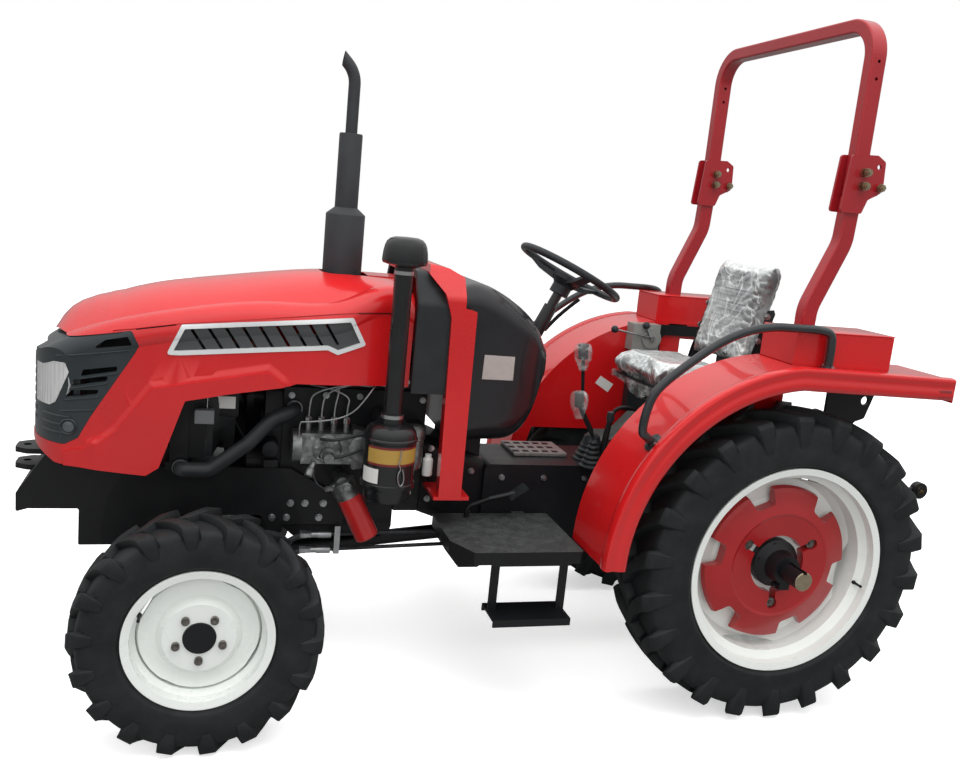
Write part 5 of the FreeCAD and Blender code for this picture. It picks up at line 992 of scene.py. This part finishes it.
# lift quadrant: a pivot disc, two levers with ball knobs
turned_piece("quadrant_disc", [(46, 0), (46, 6)], (-1880, -350, 1238), (0, 1, 0), quadrant_paint, 40)
turned_piece("quadrant_nut", [(11, 0), (11, 10)], (-1880, -344, 1238), (0, 1, 0), zinc_plate, 6)
ball = [(16.5 * sin(radians(a)), -16.5 * cos(radians(a))) for a in range(30, 171, 20)]
for name, end, radius in (("draft", (-1690, -330, 1272), 4.5), ("position", (-1842, -336, 1296), 5.5)):
    middle = (0.5 * (-1868 + end[0]), -336, 0.5 * (1244 + end[2]))
    piping(f"{name}_lever", [(-1868, -339, 1244), middle, end], radius, zinc_plate, 3)
    turned_piece(f"{name}_knob", [(0, -14)] + ball + [(0, 16.5)], end, up, wheel_foam, 24)
piping("diff_lock_pedal", [(-1500, 100, 835), (-1510, 100, 930), (-1529, 100, 1004), (-1575, 100, 1022),
                           (-1650, 100, 1005), (-1680, 100, 940)], 8.0, plate_paint)
piping("park_brake_lever", [(-1470, 180, 790), (-1475, 180, 900), (-1485, 180, 985)], 9.0, plate_paint)
turned_piece("park_brake_knob", [(0, 0), (13, 2), (16, 20), (13, 40), (0, 44)],
             (-1484, 180, 975), up, wheel_foam, 24)
foot_paint = finish("worn_aluminium_tread", "8E8987", "6F6B69", 0.4, metallic=0.4, patch_mm=18.0,
                    patch_share=0.8, grain_mm=(4.0, 0.3))
# painted shade: dark slabs on the tread plate stand in for the shade inside its slots
for row in range(3):
    for k in range(5):
        x, y = -1352 + 41 * k, -125 + 60 * row
        slab_piece(f"foot_panel_slot_{row}_{k}", (x, y, 805.6), (x + 26, y + 26, 807), painted_gap_shade, 1.0)
slab_piece("foot_panel", (-1385, -148, 790.3), (-1160, 30, 806), foot_paint, 3.0)

# ---- Seat ----
# Two foam pads in black vinyl, still in their clear delivery film. Its colour has a milky haze of its own,
# a painted highlight along its creases and a painted sky reflection on faces that look up, over the dark
# cover. The pads sit on a sprung base with plated bolts at the back.
film_over_vinyl_painted_sheen, tree = new_material("clear_film_over_black_vinyl_painted_sheen")
place = add(tree, "ShaderNodeTexCoord").outputs["Object"]
pulled = add(tree, "ShaderNodeMapping", {"Vector": place, "Rotation": (0.35, 0.75, 0.5),
                                         "Scale": (1.0, 0.5, 0.28)})
folds = add(tree, "ShaderNodeTexNoise", {"Vector": pulled, "Scale": 1000 / 75, "Detail": 6.0,
                                         "Roughness": 0.52, "Distortion": 1.1})
# painted highlight: a pale line in the colour along the folds, where creases catch the light
ridge = add(tree, "ShaderNodeMath", {0: folds, 1: 0.5}, operation="SUBTRACT")
ridge = add(tree, "ShaderNodeMath", {0: ridge}, operation="ABSOLUTE")
painted_crease_highlight = add(tree, "ShaderNodeMapRange", {"Value": ridge, "From Min": 0.0, "From Max": 0.028,
                                          "To Min": 0.85, "To Max": 0.0})
milky = add(tree, "ShaderNodeTexNoise", {"Vector": pulled, "Scale": 1000 / 120, "Detail": 4.0,
                                         "Distortion": 0.6})
haze = add(tree, "ShaderNodeMapRange", {"Value": milky, "From Min": 0.36, "From Max": 0.70,
                                        "To Min": 0.04, "To Max": 0.40})
# painted sky reflection: faces that look up are made lighter in the film's colour
up_facing = add(tree, "ShaderNodeSeparateXYZ", {0: add(tree, "ShaderNodeNewGeometry").outputs["Normal"]})
painted_sky_reflection = add(tree, "ShaderNodeMapRange", {"Value": up_facing.outputs["Z"], "From Min": 0.1, "From Max": 0.95,
                                       "To Min": 0.0, "To Max": 0.62})
haze_and_painted_sky_reflection = add(tree, "ShaderNodeMath", {0: haze, 1: painted_sky_reflection}, operation="ADD")
# the film's share of the colour: its own milky haze, plus the painted crease highlight and painted sky
# reflection
share = add(tree, "ShaderNodeMath", {0: painted_crease_highlight, 1: 0.45, 2: haze_and_painted_sky_reflection},
            operation="MULTIPLY_ADD", use_clamp=True)
tint = add(tree, "ShaderNodeMix", {0: share, 6: colour("26292C"), 7: colour("E9EEED")}, data_type="RGBA")
relief = add(tree, "ShaderNodeBump", {"Height": folds, "Distance": 0.02})
shade = add(tree, "ShaderNodeBsdfPrincipled", {"Base Color": tint.outputs[2], "Roughness": 0.26,
                                               "Coat Weight": 1.0, "Coat Roughness": 0.08, "Normal": relief})
add(tree, "ShaderNodeOutputMaterial", {"Surface": shade})


def stuffed(node_name, shrink_mm, cap_mm, crease_mm, seed):
    """A foam pad: the plain solid a little smaller, swelled as cloth, then its film creased."""
    source = node[node_name].data
    centre = sum((v.co for v in source.vertices), Vector()) / len(source.vertices)
    low, high = [Vector(pick(v.co[i] for v in source.vertices) for i in range(3)) for pick in (min, max)]
    mesh = source.copy()
    for v in mesh.vertices:
        v.co = Vector(centre[i] + (v.co[i] - centre[i]) * (1 - 2 * shrink_mm / 1000 / (high[i] - low[i]))
                      for i in range(3))
    pad = bpy.data.objects.new(f"{node_name}_pad", mesh)
    bpy.context.scene.collection.objects.link(pad)
    remesh = pad.modifiers.new("even", "REMESH")
    remesh.mode, remesh.voxel_size, remesh.use_smooth_shade = "VOXEL", 0.0065, True

    def applied():
        graph = bpy.context.evaluated_depsgraph_get()
        return bpy.data.meshes.new_from_object(pad.evaluated_get(graph), depsgraph=graph)

    pad.data = applied()
    pad.modifiers.clear()
    start = [v.co.copy() for v in pad.data.vertices]
    cloth = pad.modifiers.new("cover", "CLOTH")
    cloth.settings.use_pressure = True
    cloth.settings.uniform_pressure_force = 4.0
    cloth.settings.quality = 5
    cloth.settings.tension_stiffness = 18.0
    cloth.settings.effector_weights.gravity = 0.0
    cloth.point_cache.frame_start, cloth.point_cache.frame_end = 1, 20
    for step in range(1, 21):
        bpy.context.scene.frame_set(step)
    swelled = applied()
    pad.modifiers.clear()
    bpy.context.scene.frame_set(1)
    moved = []
    for v, first in zip(swelled.vertices, start):
        step = v.co - first
        if step.length > cap_mm / 1000:
            step = step.normalized() * cap_mm / 1000
        moved.append(first + step)
    push = crumpled(moved, crease_mm, 85.0, seed) + crumpled(moved, crease_mm * 0.35, 26.0, seed + 1)
    room = 0.008
    for v, spot, extra in zip(swelled.vertices, moved, push):
        spot = spot + v.normal * float(extra - crease_mm / 2000)
        v.co = Vector(max(low[i] - room, min(high[i] + room, spot[i])) for i in range(3))
    pad.data = swelled
    smooth = pad.modifiers.new("smooth", "SUBSURF")
    smooth.levels = smooth.render_levels = 1
    made = applied()
    bpy.data.objects.remove(pad)
    piece = settle(f"{node_name}_pad", made, film_over_vinyl_painted_sheen, sharp_deg=60.0)
    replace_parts(piece, node_name)


stuffed("seat_cushion", 12.0, 24.0, 5.0, 11)
stuffed("seat_back", 10.0, 22.0, 6.0, 23)
dress(casting_paint, "seat_base")
# places on the seat and the mudguards are set out from the rear axle, which lies behind the front one
rear = (rear_axle_x - front_axle_x) * 1000
side_outline = [(6, 1150), (-12, 1232), (-34, 1310), (-58, 1400), (-70, 1452), (-98, 1456), (-106, 1440),
                (-92, 1380), (-78, 1300), (-66, 1215), (-60, 1150)]
back_bolts = []
for tag, side in both_sides:
    # bent side plate that ties the back to the base
    inner = [at((rear + x, side * 222.5, z)) for x, z in side_outline]
    flat_plate(f"seat_side_plate_{tag}", inner, side * 4.0, side, plate_paint, 1.2, 2)
    back_bolts += [((rear + x, side * 226.6, z), (0, side, 0)) for x, z in ((-70, 1428), (-44, 1331))]
bolts("seat_back_bolts", back_bolts, 19, 8)
# the loose hem of the film hangs in folds under the cushion's front and left edges
hem_path = soften([(0.20, -0.215), (0.372, -0.205), (0.383, -0.120), (0.386, 0.0), (0.383, 0.120),
                   (0.372, 0.200), (0.30, 0.228), (0.16, 0.230), (0.02, 0.226)], 3)
points, rows = [], 7
for i, (x, y) in enumerate(hem_path):
    wave = sin(i * 0.9) * 0.008 + sin(i * 0.37 + 1.0) * 0.010
    for drop in [j / (rows - 1) for j in range(rows)]:
        points.append((rear_axle_x + x - 0.004 * drop + wave * drop * 0.6, y + wave * drop * 0.5,
                       1.122 - drop * (0.036 + 0.020 * sin(i * 0.21 + 0.6))))
settle("seat_film_hem", mesh_of("seat_film_hem", points, woven(len(hem_path), rows, around=False)), film,
       sharp_deg=80.0)
for k in range(4):
    turned_piece(f"seat_spring_ring_{k}", [(30, 0), (33, 6), (30, 12)], (rear + 275, 0, 1030 + 15 * k), up,
                 hose_rubber, 28)

# ---- Mudguards, handrails and lamps ----
# Pressed mudguards in the hood's red with a toolbox on each; black-painted grab rails stand on
# flanged feet, and the lamps are moulded red lenses.
tail_lens = finish("moulded_red_lens", "8F1418", "6E0F12", 0.12, coat=1.0, patch_mm=30.0,
                   grain_mm=(3.0, 0.15))
rail_paint = finish("black_enamel_on_bent_tube", "1B1E20", "303437", 0.22, coat=0.6, patch_mm=110.0,
                    grain_mm=(5.0, 0.02), peel_mm=8.0)
dress(red_enamel, "fenders", "fender_boxes")
dress(tail_lens, "tail_lamps")
paint_part("tail_lamps", hose_rubber, lambda centre, normal: abs(normal.y) > 0.5 or abs(normal.z) > 0.5)
dress(plate_paint, "guard_mounts")
fender_centre_z, fender_side_y, rail_y, foot_deg = 0.596, 0.7240, 662, 36.7
foot_lean = Vector((cos(radians(foot_deg)), 0, sin(radians(foot_deg))))
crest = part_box("handrails")[1].z * 1000 - 15
rail_bends = [(606, 262), (560, 205), (470, 132), (380, 66), (290, 22), (190, 0), (100, 0),
              (-5, 0), (-50, 12), (-55, 60)]
for tag, side in both_sides:
    front_foot = at((rear, side * rail_y, fender_centre_z * 1000)) + foot_lean * 0.7172
    rear_foot = seat_on("fenders", (rear - 55, side * rail_y, 1900), (0, 0, -1))[0]
    route = [front_foot + foot_lean * reach for reach in (0.0, 0.034, 0.062)]
    route += [(rear + x, side * rail_y, crest - drop) for x, drop in rail_bends]
    route += [rear_foot + Vector((0, 0, 0.040)), rear_foot]
    rail = piping(f"handrail_{tag}", route, 15.0, rail_paint, 6)
    if side > 0:
        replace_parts(rail, "handrails")
    for end, foot, way in (("front", front_foot, foot_lean), ("rear", rear_foot, Vector(up))):
        turned_piece(f"rail_flange_{end}_{tag}", [(34, 0), (34, 4), (18.5, 5.5), (17.5, 10)],
                     foot, way, rail_paint, 40)
        seats = [(foot + Vector((0, s * 0.0255, 0)) + way * 0.004, way) for s in (1, -1)]
        bolts(f"rail_bolts_{end}_{tag}", seats, 10, 6)
    slab_piece(f"side_marker_{tag}", (rear - 535, side * 724.2, 1232),
               (rear - 480, side * 731, 1262), tail_lens)
    slab_piece(f"box_lid_{tag}", (rear - 332, side * 428, 1424.2),
               (rear + 72, side * 638, 1430), red_enamel, 2.5)

# rolled edge: a crest along the outer corner, then a stepped lip down the skirt; its section is given
# as (height over the skin, distance out from the side)
crest_angle, skin = 84.0, 0.7173
edge_section = [(0.3, -46), (3.6, -40), (6.2, -30), (7, -18), (6.2, -6), (3, 2.8), (-3, 6.2), (-12, 5.2),
                (-20, 2.4), (-30, 2), (-38, 4.8), (-48, 7.2), (-60, 7), (-69, 4), (-73.5, -0.5),
                (-71.6, -4), (-71.6, 0.3), (0.3, 0.3)]
away = [Vector((cos(radians(a)), sin(radians(a)))) for a in np.linspace(0.0, crest_angle, 57)]
walk = [(Vector((rear_axle_x, fender_centre_z)) + out * skin, out) for out in away]
run = Vector((rear_axle_x - 0.545, 1.297)) - walk[-1][0]
walk += [(walk[56][0] + run * share, Vector((-run.y, run.x)).normalized() * copysign(1, run.x))
         for share in (0.06, 0.25, 0.5, 0.75, 1.0)]
for tag, side in both_sides:
    points, count = [], len(edge_section)
    for spot, out in walk:
        for lift, over in edge_section:
            raised = spot + out * lift / 1000
            points.append((raised.x, side * (fender_side_y + over / 1000), raised.y))
    ends = [tuple(range(count))[::-1], tuple(range(len(points) - count, len(points)))]
    faces = woven(len(walk), count) + ends
    if side > 0:
        faces = [(face[0], *face[:0:-1]) for face in faces]
    settle(f"fender_edge_{tag}", mesh_of("fender_edge", points, faces), red_enamel, sharp_deg=40.0)
# a blank sticker on the right-hand mudguard's inner wall
corners = [(-1668, -300, 1012), (-1690, -300, 1046), (-1756, -300, 1010), (-1734, -300, 972)]
flat_plate("wall_sticker", hugging("fenders", corners, (0, -1, 0), 0.0003), 0.9, -1, label_white)

# ---- Roll-over guard ----
# Square tube in darker red that folds at its splice plates. The plates carry hexagon bolts, washers
# and a pin with its clip in bare steel.
guard_red = finish("red_enamel_on_square_tube", "9A1A22", "84161D", 0.24, coat=0.45, patch_mm=240.0,
                   grain_mm=(6.0, 0.02), peel_mm=9.0)
dress(guard_red, "guard_posts", "guard_hoop")
guard_y, splice_z = 510, joint["guard_fold"]["pos_m"][2] * 1000
paint_part("guard_posts", machined_steel, lambda centre, normal: abs(abs(centre.y) - guard_y / 1000) > 0.0351)
bolts("splice_bolts", [((rear - x, side * guard_y + out * y, splice_z + z), (0, out, 0))
                       for side in (1, -1) for out in (1, -1)
                       for x, y, z in ((154, 59, 46), (154, 59, 0), (226, 49, 0))], 22, 10, machined_steel)

# ---- Three-point hitch and power take-off ----
# Forged links and rods in black, pinned to brackets on the castings. Ball ends, pins and the splined
# shaft are bare machined steel.
dress(plate_paint, "lower_links", "hitch_brackets")
dress(casting_paint, "lift_arms", "lift_rods")
dress(machined_steel, "pto_shaft")
link_pivot = Vector(joint["link_lift"]["pos_m"])
# bare ball eyes at the links' far ends, and the plated screws of the lift rods
eye_x, eye_z, eye_radius, far_end = rear_axle_x - 0.833, 0.767, 0.024, 0.70
screw_x, screw_y, screw_radius = link_pivot.x - 0.2696, 0.286, 0.0125
paint_part("lower_links", machined_steel, lambda centre, normal: (centre - link_pivot).length > far_end and
           abs(normal.y) < 0.5 and hypot(centre.x - eye_x, centre.z - eye_z) < eye_radius)
paint_part("lift_rods", zinc_plate, lambda centre, normal: abs(normal.z) < 0.3 and
           hypot(centre.x - screw_x, abs(centre.y) - screw_y) < screw_radius)
rear_cover = [(-100, 690), (100, 690), (-110, 600), (110, 600), (-90, 520), (90, 520)]
bolts("rear_cover_bolts", [seat_on("gearbox", (rear - 900, y, z), (1, 0, 0)) for y, z in rear_cover], 17, 10)

# ---- Studio ----
# A pale paper floor under one wide soft box overhead and one beside, with a white surround. The floor
# catches the tractor's shadow; where nothing shades it the camera sees plain white.
floor_mesh = mesh_of("studio_floor", [(-14, -14, 0), (14, -14, 0), (14, 14, 0), (-14, 14, 0)], [(0, 1, 2, 3)])
studio_floor = bpy.data.objects.new("studio_floor", floor_mesh)
bpy.context.scene.collection.objects.link(studio_floor)
paper, tree = new_material("pale_paper")
lit = add(tree, "ShaderNodeBsdfDiffuse", {"Color": colour("FBFBFB")})
dim = add(tree, "ShaderNodeBsdfDiffuse", {"Color": colour("8C8C8C")})
glow = add(tree, "ShaderNodeEmission", {"Color": colour("FFFFFF"), "Strength": 0.52})
both = add(tree, "ShaderNodeAddShader", {0: lit, 1: glow})
path = add(tree, "ShaderNodeLightPath")
seen = add(tree, "ShaderNodeMixShader", {0: path.outputs["Is Camera Ray"], 1: dim, 2: both})
add(tree, "ShaderNodeOutputMaterial", {"Surface": seen})
studio_floor.data.materials.append(paper)

air = bpy.data.worlds.new("studio_air")
bpy.context.scene.world = air
air.use_nodes = True
tree = air.node_tree
tree.nodes.clear()
path = add(tree, "ShaderNodeLightPath")
above = add(tree, "ShaderNodeSeparateXYZ", {0: add(tree, "ShaderNodeTexCoord").outputs["Generated"]})
sky_light = add(tree, "ShaderNodeMapRange", {"Value": above.outputs["Z"], "From Min": -0.1, "From Max": 0.8,
                                             "To Min": 0.26, "To Max": 1.08})
soft = add(tree, "ShaderNodeBackground", {"Color": colour("FFFFFF"), "Strength": sky_light})
seen = add(tree, "ShaderNodeBackground", {"Color": colour("FFFFFF"), "Strength": 1.0})
choose = add(tree, "ShaderNodeMixShader", {0: path.outputs["Is Camera Ray"], 1: soft, 2: seen})
add(tree, "ShaderNodeOutputWorld", {"Surface": choose})


def softbox(name, size, power, place, towards):
    light = bpy.data.lights.new(name, "AREA")
    light.shape = "RECTANGLE"
    light.size, light.size_y = size
    light.energy = power
    placed_light = bpy.data.objects.new(name, light)
    placed_light.location = place
    placed_light.rotation_euler = (Vector(towards) - Vector(place)).to_track_quat("-Z", "Y").to_euler()
    placed_light.visible_glossy = False
    bpy.context.scene.collection.objects.link(placed_light)


softbox("overhead_softbox", (5.0, 4.0), 200.0, (0.3, 1.2, 5.2), (0.0, 0.0, 0.8))
softbox("side_softbox", (4.0, 2.5), 70.0, (1.2, 5.2, 2.4), (0.0, 0.0, 0.9))

# the camera stands to the tractor's left, level with the front axle and above head height
yaw, pitch, roll = -0.29306, 0.18494, 0.09938
flat_ahead = Vector((sin(yaw), -cos(yaw), 0))
flat_right = Vector((-cos(yaw), -sin(yaw), 0))
plumb = Vector((0, 0, 1))
ahead = flat_ahead * cos(pitch) - plumb * sin(pitch)
lifted = plumb * cos(pitch) + flat_ahead * sin(pitch)
right = flat_right * cos(roll) + lifted * sin(roll)
skyward = lifted * cos(roll) - flat_right * sin(roll)
stand = Vector((front_axle_x + 0.0119, 3.3852, 1.7424))
camera = bpy.data.objects.new("camera", bpy.data.cameras.new("camera"))
bpy.context.scene.collection.objects.link(camera)
camera.matrix_world = Matrix.Translation(stand) @ Matrix((right, skyward, -ahead)).transposed().to_4x4()
camera.data.sensor_width = 36.0
camera.data.lens = 34.84
camera.data.shift_x = -0.0021
camera.data.shift_y = 0.0008
bpy.context.scene.camera = camera
bpy.context.scene.view_settings.view_transform = "Standard"
